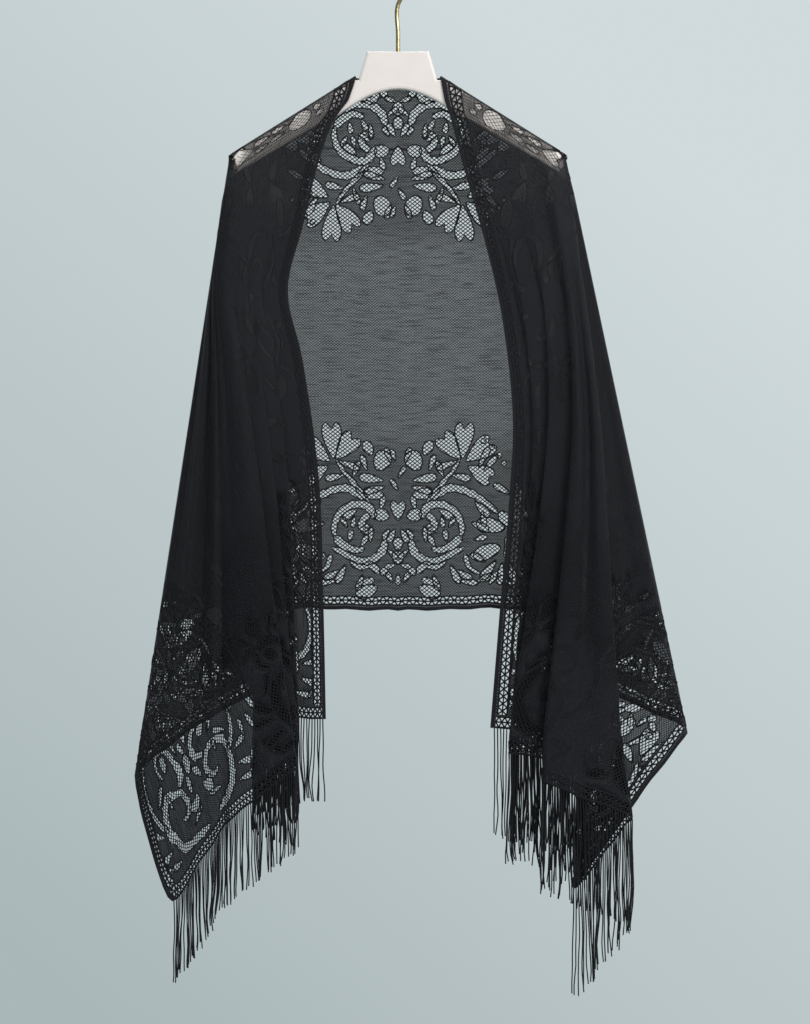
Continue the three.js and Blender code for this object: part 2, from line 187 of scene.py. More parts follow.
def rows_of(table, names):
    """Each row of a table as a dictionary of its named columns."""
    return [dict(zip(names, row)) for row in table]


def follow(rows, by, name, places):
    """A smooth curve through named rows: one column's value at places on another column."""
    knots = np.array([row[by] for row in rows], float)
    values = np.array([row[name] for row in rows], float)
    sign = 1.0 if knots[-1] > knots[0] else -1.0
    places = np.asarray(places, float)
    i = np.clip(np.searchsorted(knots * sign, places * sign) - 1, 0, len(rows) - 2)
    before = np.maximum(i - 1, 0)
    after = np.minimum(i + 2, len(rows) - 1)
    step = knots[i + 1] - knots[i]
    gain = values[i + 1] - values[i]
    leave = (values[i + 1] - values[before]) / (knots[i + 1] - knots[before]) * step
    arrive = (values[after] - values[i]) / (knots[after] - knots[i]) * step
    share = (places - knots[i]) / step
    curve = (leave + arrive - 2 * gain) * share + 3 * gain - 2 * leave - arrive
    return values[i] + (leave + curve * share) * share


def knots_of(rows):
    """A fold back becomes three knots: into the fold, its edge, and out of it."""
    knots = []
    for i, row in enumerate(rows):
        if not row["turn"]:
            knots.append(row)
            continue
        before, after = rows[i - 1], rows[i + 1]
        radius = abs(row["turn"])
        inside = row["out"] - math.copysign(radius, row["out"] - before["out"])
        reach = math.pi / 2 * radius
        for way in (-1, 0, 1):
            knot = dict(row)
            for name in ("low", "top"):
                slope = (after[name] - before[name]) / (after["walk"] - before["walk"])
                knot[name] = row[name] + way * reach * slope
            knot["walk"] = row["walk"] + way * reach
            knot["deep"] = row["deep"] + way * row["turn"]
            knot["out"] = inside if way else row["out"]
            knots.append(knot)
    return knots


# %% [markdown]
# ## Soft creases
# A hung cloth has more than its big folds: shallow troughs run down from the shoulder and fade out. Each
# row places one, as wide, deep and long as it looks, and no two are alike.

# %% Crease table
# walk: its middle along the edge. wide: half its width. deep: how far back it goes, or forward if it is
# minus. start, end: the shares of the drop where it begins and fades out.
CREASE_COLUMNS = ("walk", "wide", "deep", "start", "end")
LEFT_BACK_CREASES = [(20, 46, 1.6, 0.1, 0.8), (96, 36, -2.2, 0.05, 0.7), (128, 30, 1.8, 0.3, 1.1)]
RIGHT_BACK_CREASES = [(30, 40, -1.8, 0.2, 1.0), (78, 34, 2.0, 0.05, 0.6), (118, 26, -2.0, 0.2, 0.9)]
LEFT_FRONT_CREASES = [
    (725, 30, 4.4, 0.1, 0.85),
    (790, 36, -8.5, 0.2, 1.15),
    (850, 32, 5.6, 0.05, 0.85),
    (905, 24, -7.5, 0.15, 1.1),
    (970, 26, 4.4, 0.05, 0.7),
    (1022, 22, -2.0, 0.2, 0.75),
]
RIGHT_FRONT_CREASES = [
    (690, 34, 2.2, 0.3, 1.0),
    (770, 34, -7.0, 0.2, 1.1),
    (965, 30, -7.0, 0.1, 0.9),
    (995, 26, 4.6, 0.2, 1.05),
    (1024, 22, -4.0, 0.1, 0.8),
]


# %% [markdown]
# ## From the flat cloth to the hung cloth
# One function gives both the point in space and the point on the flat cloth, for a walk along the edge and a
# share of the way down from the shoulder. The first few rows bend round the hanger's arm. Because the flat
# point is known too, a pattern that is drawn flat, as lace is knitted, can be carried onto the folds.

# %% One hanging stretch of cloth
BEND_ANGLES = (0, 22, 45, 67, 90)
DROP_SHARES = 34
FOLD_SPAN = 12
FOLD_PARTS = 3
BOW_FULL_AT = 0.06
RIPPLE_WAVES = (7.3, 13.7)
HEM_RIPPLE = 0.9
RIPPLE_GROWTH = 6
HEM_CURL = 0.7
CURL_GROWTH = 4
CURL_SHIFT = 31


class Stretch:
    """A hanging part of the cloth on one side, in front of the hanger or behind it."""

    def __init__(self, sign, face, table, creases, folds_from=None, inner_edge=None):
        self.sign = sign
        self.face = face
        self.rows = rows_of(table, COLUMNS)
        self.knots = knots_of(self.rows)
        self.creases = rows_of(creases, CREASE_COLUMNS)
        self.start = self.rows[0]["walk"]
        self.end = self.rows[-1]["walk"]
        self.folds_from = self.start if folds_from is None else folds_from
        self.inner_edge = rows_of(inner_edge, EDGE_COLUMNS) if inner_edge else None

    def walks(self, pitch):
        """Places along the edge: fine round a fold, and a pitch apart on a run."""
        stops = [knot["walk"] for knot in self.knots]
        places = [stops[0]]
        for a, b in zip(stops, stops[1:]):
            parts = FOLD_PARTS if b - a < FOLD_SPAN else max(1, round((b - a) / pitch))
            places += [a + (b - a) * k / parts for k in range(1, parts + 1)]
        return np.array(places)

    def bow(self, high):
        """How far the inner edge bows out of its straight line at a height."""
        if self.inner_edge is None:
            return 0 * high
        first, last = self.inner_edge[0], self.inner_edge[-1]
        high = np.maximum(high, last["high"])
        share = (high - first["high"]) / (last["high"] - first["high"])
        straight = first["out"] + (last["out"] - first["out"]) * share
        return follow(self.inner_edge, "high", "out", high) - straight

    def crease(self, walk, share):
        """The depth that the soft creases add."""
        deep = 0 * walk * share
        for row in self.creases:
            across = np.clip(np.abs(walk - row["walk"]) / row["wide"], 0, 1)
            along = np.clip((share - row["start"]) / (row["end"] - row["start"]), 0, 1)
            deep = deep + row["deep"] * np.cos(across * math.pi / 2) ** 2 * np.sin(along * math.pi)
        return deep

    def ripple(self, walk, size):
        """The unevenness of a soft hem: two waves that don't repeat together."""
        first, second = RIPPLE_WAVES
        return size * (np.sin(walk / first) + 0.7 * np.sin(walk / second + 1))

    def hang(self, walks):
        """(points in space, points on the flat cloth), each as columns by rows, in millimetres."""
        walk = np.asarray(walks, float)[:, None]
        top = follow(self.knots, "walk", "top", walk)
        on_neck = top < -1e-6
        round_off = np.clip((top - TIP_ROUND_FROM) / (1 - TIP_ROUND_FROM), 0, 1)
        half = BEND * np.sqrt(1 - round_off**2)
        angles = np.radians(list(BEND_ANGLES) + [90] * DROP_SHARES)[None, :]
        drops = np.arange(1, DROP_SHARES + 1) / DROP_SHARES
        shares = np.concatenate([np.zeros(len(BEND_ANGLES)), drops])[None, :]
        start_out = NECK[0] + SHOULDER_WIDE * top
        start_high = np.where(on_neck, NECK_EDGE, NECK[1] - SHOULDER_TALL * top)
        start_high = start_high - BEND * (1 - np.cos(angles))
        start_deep = np.where(on_neck, BEND, half * np.sin(angles))
        out = follow(self.knots, "walk", "out", walk)
        low = follow(self.knots, "walk", "low", walk)
        along = np.maximum(0, (walk - self.folds_from) / (self.end - self.folds_from))
        fold_start = follow(self.knots, "walk", "out", self.folds_from)
        calm = np.where(along > 0, fold_start + (self.rows[-1]["out"] - fold_start) * along, out)
        calm_deep = follow(self.rows, "walk", "deep", walk)
        fold_deep = (follow(self.knots, "walk", "deep", walk) - calm_deep) * shares**FOLD_GROWTH
        z = start_high + (low - start_high) * shares
        x = start_out + (calm - start_out) * shares + (out - calm) * shares**FOLD_GROWTH
        x = x + self.bow(z) * along * np.minimum(1, shares / BOW_FULL_AT)
        side = self.face * start_deep
        y = side + (calm_deep - side) * shares**DEPTH_GROWTH + fold_deep
        y = y + self.crease(walk, shares) * (shares > 0)
        z = z + self.ripple(walk, HEM_RIPPLE) * shares**RIPPLE_GROWTH
        y = y + self.ripple(walk + CURL_SHIFT, HEM_CURL) * shares**CURL_GROWTH
        space = np.stack([self.sign * x, y, z], axis=-1)
        return space, self.flat(walk, top, angles, shares)

    def flat(self, walk, top, angles, shares):
        """Where the same points lie flat: across from the cloth's middle, and down from its upper edge."""
        top_u = NECK[0] + SHOULDER_WIDE * top
        top_v = np.maximum(0, top) * SHOULDER_TALL
        foot_u = np.minimum(walk, HALF_LENGTH)
        foot_v = WIDTH - np.maximum(0, walk - HALF_LENGTH)
        bent = np.radians(90) * BEND / np.hypot(foot_u - top_u, foot_v - top_v)
        share = bent * angles / np.radians(90) + (1 - bent) * shares
        u = top_u + (foot_u - top_u) * share
        v = top_v + (foot_v - top_v) * share
        return np.stack([self.sign * u, v], axis=-1)


LEFT, RIGHT = -1, 1
left_back = Stretch(LEFT, 1, LEFT_BACK, LEFT_BACK_CREASES, folds_from=150)
left_front = Stretch(LEFT, -1, LEFT_FRONT, LEFT_FRONT_CREASES, inner_edge=LEFT_INNER_EDGE)
right_back = Stretch(RIGHT, 1, RIGHT_BACK, RIGHT_BACK_CREASES, folds_from=150)
right_front = Stretch(RIGHT, -1, RIGHT_FRONT, RIGHT_FRONT_CREASES, inner_edge=RIGHT_INNER_EDGE)
stretches = (left_back, left_front, right_back, right_front)
print("stretches", len(stretches), "with", sum(len(stretch.rows) for stretch in stretches), "rows")

# %% [markdown]
# ## A map from flat to hung
# The four stretches are sampled on a fine lattice. Each small triangle of it is known flat and hung, so any
# flat point finds its triangle, and its place inside the triangle gives the point in space.

# %% The lattice and its map
COLUMN_PITCH = 11
MAP_SLACK = 0.01


class ClothMap:
    """Carries points of the flat cloth to the hung cloth."""

    def __init__(self):
        flats, spaces, triangles, self.lines = [], [], [], []
        count = 0
        for stretch in stretches:
            space, flat = stretch.hang(stretch.walks(COLUMN_PITCH))
            wide, tall = flat.shape[:2]
            index = count + np.arange(wide * tall).reshape(wide, tall)
            a, b = index[:-1, :-1].ravel(), index[1:, :-1].ravel()
            c, d = index[1:, 1:].ravel(), index[:-1, 1:].ravel()
            triangles += [np.stack([a, b, c], 1), np.stack([a, c, d], 1)]
            flats.append(flat.reshape(-1, 2))
            spaces.append(space.reshape(-1, 3))
            self.lines += [list(column) for column in index]
            self.lines.append(list(index[:, 0]))
            self.lines.append(list(index[:, -1]))
            count += wide * tall
        self.flat = np.concatenate(flats)
        self.space = np.concatenate(spaces)
        self.triangles = np.concatenate(triangles)
        corners = [(u, v, 0) for u, v in self.flat.tolist()]
        self.tree = BVHTree.FromPolygons(corners, self.triangles.tolist(), all_triangles=True)

    def hung(self, points):
        """Points in space, in millimetres, for points of the flat cloth."""
        points = np.asarray(points, float)
        found = np.array([self.tree.find_nearest((u, v, 0))[2] for u, v in points.tolist()])
        a, b, c = (self.flat[self.triangles[found][:, k]] for k in range(3))
        ab, ac, ap = b - a, c - a, points - a
        area = ab[:, 0] * ac[:, 1] - ab[:, 1] * ac[:, 0]
        area = np.where(np.abs(area) < 1e-9, 1e-9, area)
        t = (ap[:, 0] * ac[:, 1] - ap[:, 1] * ac[:, 0]) / area
        s = (ab[:, 0] * ap[:, 1] - ab[:, 1] * ap[:, 0]) / area
        t = np.clip(t, -MAP_SLACK, 1 + MAP_SLACK)[:, None]
        s = np.clip(s, -MAP_SLACK, 1 + MAP_SLACK)[:, None]
        corner = [self.space[self.triangles[found][:, k]] for k in range(3)]
        return corner[0] * (1 - s - t) + corner[1] * t + corner[2] * s


cloth_map = ClothMap()
print("lattice points", len(cloth_map.flat))

# %% [markdown]
# ## The lace pattern
# The borders are flowers, leaves and scrolls that are filled with open net and outlined with a cord. They are
# ordinary ornament, drawn here by two shape functions: one for a pointed leaf, a round bud and a heart petal,
# and one for a ribbon along a curve. Each row gives a shape its place, size and direction in one half of a
# repeat, and mirroring and repeating make the border. Distances are millimetres from the repeat's middle line
# and up from the edge band.

# %% Shape functions
SHAPE_STEP = 4.6
NOTCH_WIDE = 0.25
NOTCH_FROM = 0.6
RIBBON_BUMP = 11.0
RIBBON_BUMP_DEEP = 0.16
RIBBON_TAPER = 0.45
RIBBON_BLUNT = 7
RIBBON_WIDER = 1.35

# longer, wider: against the row's length and width. stem, swell: the width at the stem, and what it gains
# towards the far end. full: how much of the width is used. notch: how deep the cut between two lobes is.
# finer, least: how many points it gets.
FORM_COLUMNS = ("longer", "wider", "stem", "swell", "full", "notch", "finer", "least")
FORMS = {
    "leaf": (1.0, 1.5, 0.35, 0.65, 0.8, 0.0, 1.6, 8),
    "bud": (1.1, 1.1, 0.74, 0.32, 1.0, 0.0, 1.6, 8),
    "heart": (1.0, 1.0, 0.25, 0.75, 1.15, 0.24, 1.8, 12),
}


def placed(points, x, y, degrees):
    """Turns a shape that points along +X and moves it to its place."""
    angle = math.radians(degrees)
    turn = np.array([[math.cos(angle), math.sin(angle)], [-math.sin(angle), math.cos(angle)]])
    return np.asarray(points) @ turn + (x, y)


def shape_of(kind, x, y, length, width, degrees):
    """One closed outline from a row of a table, from its stem to its far end and back."""
    form = dict(zip(FORM_COLUMNS, FORMS[kind]))
    length, width = length * form["longer"], width * form["wider"]
    count = max(form["least"], round((length + width) * form["finer"] / SHAPE_STEP))
    angle = np.linspace(0, 2 * math.pi, count, endpoint=False)
    along = (1 - np.cos(angle)) / 2
    half = np.sin(angle) * (form["stem"] + form["swell"] * along)
    notch = form["notch"] * np.exp(-((half / NOTCH_WIDE) ** 2)) * (along > NOTCH_FROM)
    outline = np.stack([length * (along - notch), width / 2 * half * form["full"]], 1)
    return placed(outline, x, y, degrees)


def ribbon(path, width):
    """A band with soft bumps along a smooth path, with round ends, and narrower at its far end."""
    path, width = np.asarray(path, float), width * RIBBON_WIDER
    rows = [{"n": n, "x": x, "y": y} for n, (x, y) in enumerate(path)]
    length = np.hypot(*np.diff(path, axis=0).T).sum()
    n = np.linspace(0, len(path) - 1, max(4, round(length / SHAPE_STEP)))
    middle = np.stack([follow(rows, "n", "x", n), follow(rows, "n", "y", n)], 1)
    along = np.gradient(middle, axis=0)
    along /= np.linalg.norm(along, axis=1)[:, None]
    across = np.stack([-along[:, 1], along[:, 0]], 1)
    share = np.linspace(0, 1, len(n))
    round_end = np.sqrt(np.maximum(0, 1 - np.abs(2 * share - 1) ** RIBBON_BLUNT))
    bumps = 1 + RIBBON_BUMP_DEEP * np.sin(share * length / RIBBON_BUMP * 2 * math.pi)
    half = (width / 2 * (1 - RIBBON_TAPER * share) * round_end * bumps)[:, None]
    return np.concatenate([(middle + across * half)[:-1], (middle - across * half)[:0:-1]])


# %% Rows of the long border, for one half of a repeat
PETALS = [
    ("heart", 71, 152, 38, 29, 128),
    ("heart", 74, 153, 44, 27, 86),
    ("heart", 78, 150, 40, 30, 36),
    ("heart", 80, 144, 34, 26, -30),
    ("leaf", 68, 150, 26, 9, 200),
    ("leaf", 62, 134, 22, 10, -12),
    ("leaf", 52, 132, 20, 8, 112),
    ("bud", 24, 141, 22, 20, 118),
    ("bud", 30, 158, 16, 12, 62),
    ("leaf", 36, 140, 19, 8, 72),
    ("leaf", 17, 129, 28, 12, 8),
    ("leaf", 15, 122, 26, 10, -14),
    ("bud", 16, 112, 22, 13, 8),
    ("leaf", 20, 96, 16, 8, 104),
    ("leaf", 47, 96, 20, 10, -38),
    ("leaf", 50, 88, 14, 7, -82),
    ("bud", 10, 88, 16, 15, 12),
    ("leaf", 88, 104, 24, 11, -48),
    ("bud", 116, 92, 18, 14, -52),
    ("bud", 122, 73, 30, 17, 170),
    ("bud", 117, 52, 30, 17, 202),
    ("leaf", 112, 36, 28, 11, 232),
    ("leaf", 119, 34, 26, 9, 262),
    ("leaf", 127, 34, 26, 11, 286),
    ("leaf", 32, 58, 18, 7, 96),
    ("leaf", 42, 54, 14, 8, 118),
    ("leaf", 56, 58, 14, 8, 100),
    ("leaf", 60, 32, 24, 10, -64),
    ("leaf", 66, 26, 22, 9, -30),
    ("leaf", 70, 14, 22, 8, -10),
    ("bud", 24, 8, 24, 15, -24),
    ("bud", 18, 20, 9, 9, 110),
    ("leaf", 40, 22, 20, 8, -70),
    ("leaf", 90, 12, 20, 9, 20),
    ("heart", 146, 126, 28, 22, 110),
    ("bud", 150, 110, 20, 15, 60),
    ("leaf", 140, 100, 26, 11, 76),
    ("bud", 152, 60, 22, 18, 84),
    ("leaf", 144, 44, 26, 11, 60),
    ("leaf", 146, 20, 24, 10, 44),
    ("leaf", 92, 142, 26, 9, 62),
    ("leaf", 98, 138, 24, 8, 50),
    ("bud", 112, 156, 6, 6, 0),
    ("bud", 104, 164, 6, 6, 20),
    ("bud", 95, 170, 6, 6, 40),
    ("bud", 118, 148, 6, 6, -20),
    ("leaf", 8, 150, 18, 8, 70),
    ("leaf", 84, 80, 22, 11, -28),
    ("leaf", 96, 92, 18, 8, -80),
    ("leaf", 86, 60, 16, 8, 10),
    ("leaf", 100, 34, 20, 9, 150),
    ("leaf", 46, 70, 16, 8, 150),
    ("leaf", 58, 74, 14, 7, 60),
    ("leaf", 10, 74, 14, 8, -60),
    ("leaf", 12, 50, 15, 8, 220),
    ("leaf", 6, 12, 14, 8, 60),
    ("leaf", 46, 10, 20, 9, 160),
    ("leaf", 104, 8, 18, 8, 60),
    ("leaf", 134, 76, 16, 7, 10),
    ("leaf", 156, 90, 16, 8, 100),
    ("leaf", 128, 112, 22, 9, 150),
    ("leaf", 132, 8, 20, 9, 150),
    ("bud", 158, 24, 12, 11, 90),
]
RIBBONS = [
    (((33, 104), (48, 122), (62, 138), (71, 152)), 5),
    (((26, 84), (34, 99), (50, 101), (66, 92), (73, 76), (72, 62)), 8),
    (((30, 92), (40, 84), (42, 74), (34, 71), (29, 77)), 7),
    (((74, 66), (62, 54), (48, 49), (38, 52)), 8),
    (((14, 62), (19, 47), (32, 38), (48, 38), (64, 46), (76, 52)), 8),
    (((36, 106), (58, 119), (82, 114), (104, 98), (114, 90)), 8),
    (((22, 22), (30, 33), (44, 30), (56, 36)), 7),
    (((76, 46), (82, 28), (96, 20)), 5),
    (((124, 66), (124, 52), (121, 40)), 4),
    (((128, 88), (140, 84), (150, 94), (148, 112)), 6),
    (((132, 34), (144, 36), (154, 46)), 6),
]
MIDDLE = [
    ("heart", 0, 84, 24, 22, 90),
    ("leaf", -3, 152, 14, 7, 110),
    ("leaf", 0, 132, 16, 7, 58),
    ("leaf", 0, 118, 16, 7, 122),
    ("leaf", 3, 74, 18, 9, -60),
    ("leaf", -3, 74, 18, 9, 240),
    ("bud", 0, 50, 14, 12, 90),
    ("bud", 0, 34, 14, 14, 90),
    ("leaf", -2, 34, 14, 7, 200),
    ("leaf", 2, 34, 14, 7, -20),
    ("leaf", 0, 24, 14, 8, -90),
]

# %% Rows of the border across each short end, for one half of a repeat
END_PETALS = [
    ("heart", 77, 126, 32, 25, 106),
    ("heart", 80, 122, 32, 25, 54),
    ("heart", 82, 115, 27, 20, 6),
    ("leaf", 72, 118, 26, 10, 152),
    ("leaf", 86, 86, 24, 9, 30),
    ("leaf", 68, 72, 26, 9, 132),
    ("leaf", 70, 30, 28, 10, -16),
    ("leaf", 73, 46, 24, 9, 14),
    ("leaf", 62, 12, 24, 9, -6),
    ("leaf", 28, 24, 22, 9, 152),
    ("leaf", 44, 66, 16, 7, 84),
    ("heart", 15, 30, 26, 22, 92),
    ("leaf", 10, 60, 26, 9, 98),
    ("leaf", 7, 112, 26, 9, 74),
    ("bud", 38, 134, 20, 17, 84),
    ("leaf", 52, 130, 24, 9, 42),
    ("leaf", 24, 132, 20, 8, 132),
    ("bud", 35, 101, 15, 13, 80),
    ("leaf", 96, 50, 22, 8, 84),
]
END_RIBBONS = [
    (((8, 4), (30, 7), (52, 20), (63, 44), (58, 68), (42, 80), (25, 73), (20, 58), (28, 46), (38, 49)), 10),
    (((62, 50), (78, 62), (86, 84), (84, 104), (77, 122)), 7),
    (((26, 78), (15, 92), (17, 112), (32, 123), (48, 118), (52, 104), (43, 96)), 8),
    (((82, 8), (92, 18), (97, 34)), 7),
]
END_MIDDLE = [
    ("bud", 0, 84, 20, 15, 90),
    ("leaf", 0, 106, 18, 8, 90),
    ("leaf", 0, 134, 18, 8, 90),
]
print("rows of the long border", len(PETALS + RIBBONS + MIDDLE))
print("rows of the end border", len(END_PETALS + END_RIBBONS + END_MIDDLE))


# %% One repeat
def repeat_of(petals, ribbons, middle):
    """All outlines of one repeat: both halves and the middle."""
    half = [shape_of(*row) for row in petals] + [ribbon(*row) for row in ribbons]
    return half + [outline * (-1, 1) for outline in half] + [shape_of(*row) for row in middle]


# %% [markdown]
# ## The borders on the flat cloth
# The long border stands on both long edges, five times along the cloth, and mirrored from one edge to the
# other. Along the upper edge it is set a little higher, so that its lowest shapes run off under the band. A
# border of its own, three repeats wide, stands on each short end.

# %% Place the repeats
LONG_REPEAT = 330.0
LONG_BAND = 15.0
END_REPEAT = WIDTH / 3
END_SQUEEZE = 0.97
END_BAND = 14.0
END_BORDER = 158.0
OUTLINE_MARGIN = 4.0
UPPER_LIFT = 22.0
ARM_ZONE_FROM, ARM_ZONE_TO = NECK[0] + 10, 235.0
ARM_ZONE_ABOVE, ARM_ZONE_BELOW = 42.0, 3.0
ARM_ZONE_SHARE = 0.2


def over_arm_zone(outline):
    """Whether an outline of the upper border would lie where the flowers over the arms go."""
    side, down = np.abs(outline[:, 0]), outline[:, 1]
    off = down - (side - NECK[0]) * SHOULDER_TALL / SHOULDER_WIDE
    there = (side > ARM_ZONE_FROM) & (side < ARM_ZONE_TO) & (off > -ARM_ZONE_ABOVE) & (off < ARM_ZONE_BELOW)
    return there.mean() > ARM_ZONE_SHARE


def border_outlines():
    """Every outline of the pattern, as points of the flat cloth."""
    outlines = []
    long_shapes = repeat_of(PETALS, RIBBONS, MIDDLE)
    end_shapes = repeat_of(END_PETALS, END_RIBBONS, END_MIDDLE)
    for n in range(-2, 3):
        for outline in long_shapes:
            u = outline[:, 0] + n * LONG_REPEAT
            if np.abs(u).max() > HALF_LENGTH - END_BORDER:
                continue
            upper = np.stack([u, LONG_BAND + OUTLINE_MARGIN - UPPER_LIFT + outline[:, 1]], 1)
            if upper[:, 1].min() > LONG_BAND + 1 and not over_arm_zone(upper):
                outlines.append(upper)
            outlines.append(np.stack([u, WIDTH - LONG_BAND - OUTLINE_MARGIN - outline[:, 1]], 1))
    lowest = LONG_BAND + OUTLINE_MARGIN / 2
    for n in range(3):
        for outline in end_shapes:
            v = np.clip((n + 0.5) * END_REPEAT + outline[:, 0] * END_SQUEEZE, lowest, WIDTH - lowest)
            u = HALF_LENGTH - END_BAND - OUTLINE_MARGIN - outline[:, 1]
            outlines += [np.stack([u, v], 1), np.stack([-u, v], 1)]
    return outlines


# %% [markdown]
# ## The flowers that lie over the hanger's arms
# Over the arms the cloth fans out, so a flower drawn straight on the flat cloth would come out sheared. These
# few are drawn as they look on the arm: from the neck along the shoulder line, and square to it. The fold
# tables then give the flat points that hang there.

# %% Flowers over the arms
YOKE_SHAPES = [
    ("bud", 93, 13, 28, 23, 178),
    ("leaf", 96, 7, 20, 7.5, -1),
    ("leaf", 97, 16.5, 20, 8, 3),
    ("leaf", 118, 8, 22, 8.5, 1),
    ("leaf", 119, 18.5, 20, 8, 2),
    ("bud", 50, 8, 9, 8, 0),
    ("bud", 46, 18, 9, 8, 0),
    ("heart", 141, 13, 27, 24, 0),
]
WALK_SAMPLES = 800


def flat_from_yoke(side, points):
    """Flat points for points on the arm: how far along the shoulder line, and how far off it."""
    stretch = left_front if side == LEFT else right_front
    lean = math.atan2(SHOULDER_TALL, SHOULDER_WIDE)
    out = NECK[0] + points[:, 0] * math.cos(lean) - points[:, 1] * math.sin(lean)
    down = points[:, 1:] / math.cos(lean)
    top = np.clip((out - NECK[0]) / SHOULDER_WIDE, 0, 0.99)
    walks = np.linspace(stretch.start, stretch.end, WALK_SAMPLES)
    tops = follow(stretch.knots, "walk", "top", walks)
    walk = np.interp(-top, -tops, walks)
    upper = np.stack([NECK[0] + SHOULDER_WIDE * top, top * SHOULDER_TALL], 1)
    foot = np.stack([np.minimum(walk, HALF_LENGTH), WIDTH - np.maximum(0, walk - HALF_LENGTH)], 1)
    ray = (foot - upper) / np.linalg.norm(foot - upper, axis=1)[:, None]
    bent = BEND * np.arccos(np.clip(1 - down / BEND, 0, 1))
    return (upper + ray * (bent + np.maximum(0, down - BEND))) * (side, 1)


yoke_shapes = [shape_of(*row) for row in YOKE_SHAPES]
yoke_outlines = [flat_from_yoke(side, shape) for side in (LEFT, RIGHT) for shape in yoke_shapes]

# %% [markdown]
# ## Flowers in the folds
# Where three or more layers hang behind each other, no light comes through a flower, and only its outline is
# just seen. There the openings are filled with a thin net as painted shade, the outline is a finer cord, and
# the smallest shapes are left out. The same goes for a part of the right end that hangs close behind its
# neighbour, and for the edge bands in the folds.

# %% Sort the flowers
FOLDS_FROM, FOLDS_TO, FOLDS_TO_HEM = 135.0, 540.0, 530.0
GAP_TO, GAP_UPPER, GAP_LOWER = 825.0, 290.0, 430.0
SMALLEST_IN_FOLDS = 27.0


def in_folds(points):
    """Whether flat points lie where three or more layers hang, or in that part of the right end."""
    across, down = points[:, 0], points[:, 1]
    side = np.abs(across)
    reach = np.where(down > WIDTH / 2, FOLDS_TO_HEM, FOLDS_TO)
    in_gap = (across > 0) & (side < GAP_TO) & (down > GAP_UPPER) & (down < GAP_LOWER)
    return (side > FOLDS_FROM) & ((side < reach) | in_gap)


open_outlines, folded_outlines = [], []
for outline in border_outlines():
    if in_folds(outline).mean() < 0.5:
        open_outlines.append(outline)
    elif np.hypot(*np.ptp(outline, axis=0)) > SMALLEST_IN_FOLDS:
        folded_outlines.append(outline)
outlines = open_outlines + folded_outlines + yoke_outlines
print("outlines", len(open_outlines), "open,", len(folded_outlines), "in folds")
print("outlines", len(yoke_outlines), "over the arms")

# %% [markdown]
# ## The yarn, knit and metal finishes
# Each finish is a material made of nodes. The lace yarn is polyester filament: black, a little shiny, and
# soft at grazing angles. The ground is the same yarn as a fine net, so most of its face is yarn and the rest
# lets light through. A thinner net fills the flowers that lie in folds as painted shade, and a close knit
# without holes does for the selvage. The real net is too fine to show in a picture, so its mesh is drawn
# coarser here.

# %% Helpers for materials
def linear(hex_colour):
    """An sRGB hex colour as the linear RGBA that Blender's sockets take."""
    parts = [int(hex_colour[k : k + 2], 16) / 255 for k in (1, 3, 5)]
    return [p / 12.92 if p <= 0.04045 else ((p + 0.055) / 1.055) ** 2.4 for p in parts] + [1]


def node(tree, kind, inputs=None, **settings):
    """Adds a node. An input that is a socket is linked, and any other is set as a value."""
    made = tree.nodes.new(kind)
    for name, value in settings.items():
        setattr(made, name, value)
    for key, value in (inputs or {}).items():
        if isinstance(value, bpy.types.NodeSocket):
            tree.links.new(value, made.inputs[key])
        else:
            made.inputs[key].default_value = value
    return made


def maths(tree, operation, *values, **settings):
    """The result of a Math node."""
    return node(tree, "ShaderNodeMath", dict(enumerate(values)), operation=operation, **settings).outputs[0]


def vector_maths(tree, operation, *values):
    """The result of a Vector Math node."""
    return node(tree, "ShaderNodeVectorMath", dict(enumerate(values)), operation=operation).outputs[0]


def axes_of(tree, vector):
    """A vector's X, Y and Z."""
    return node(tree, "ShaderNodeSeparateXYZ", {0: vector}).outputs


def ramp(tree, value, low, high, start=0.0, end=1.0, **settings):
    """A value that goes from low to high, as one that goes from start to end and stays there."""
    inputs = {"Value": value, "From Min": low, "From Max": high, "To Min": start, "To Max": end}
    return node(tree, "ShaderNodeMapRange", inputs, **settings).outputs[0]


def noise(tree, place, scale, detail, roughness=0.5):
    """The outputs of a noise texture."""
    inputs = {"Vector": place, "Scale": scale, "Detail": detail, "Roughness": roughness}
    return node(tree, "ShaderNodeTexNoise", inputs).outputs


def blend(tree, share, first, second):
    """A colour between two hex colours."""
    inputs = {0: share, 6: linear(first), 7: linear(second)}
    return node(tree, "ShaderNodeMix", inputs, data_type="RGBA").outputs[2]


def relief(tree, height, strength, distance):
    """The normal of a surface with a fine relief, as deep as a distance in millimetres."""
    inputs = {"Strength": strength, "Distance": distance * MM, "Height": height}
    return node(tree, "ShaderNodeBump", inputs).outputs["Normal"]


def object_place(tree):
    """Where a point lies on its object."""
    return node(tree, "ShaderNodeTexCoord").outputs["Object"]


def cloth_place(tree):
    """Where a point lies on the flat cloth, in metres."""
    return node(tree, "ShaderNodeUVMap", uv_map="cloth").outputs[0]


def material_of(name, build, **amounts):
    """A material whose surface is the shader that a function builds in its node tree."""
    material = bpy.data.materials.new(name)
    material.use_nodes = True
    tree = material.node_tree
    tree.nodes.clear()
    node(tree, "ShaderNodeOutputMaterial", {"Surface": build(tree, **amounts)})
    return material


# %% Yarn and knit
YARN = "#0c0b0f"
YARN_LIGHT = "#18161c"
CORD_RIB = 0.9
KNIT_RIB = 1.2


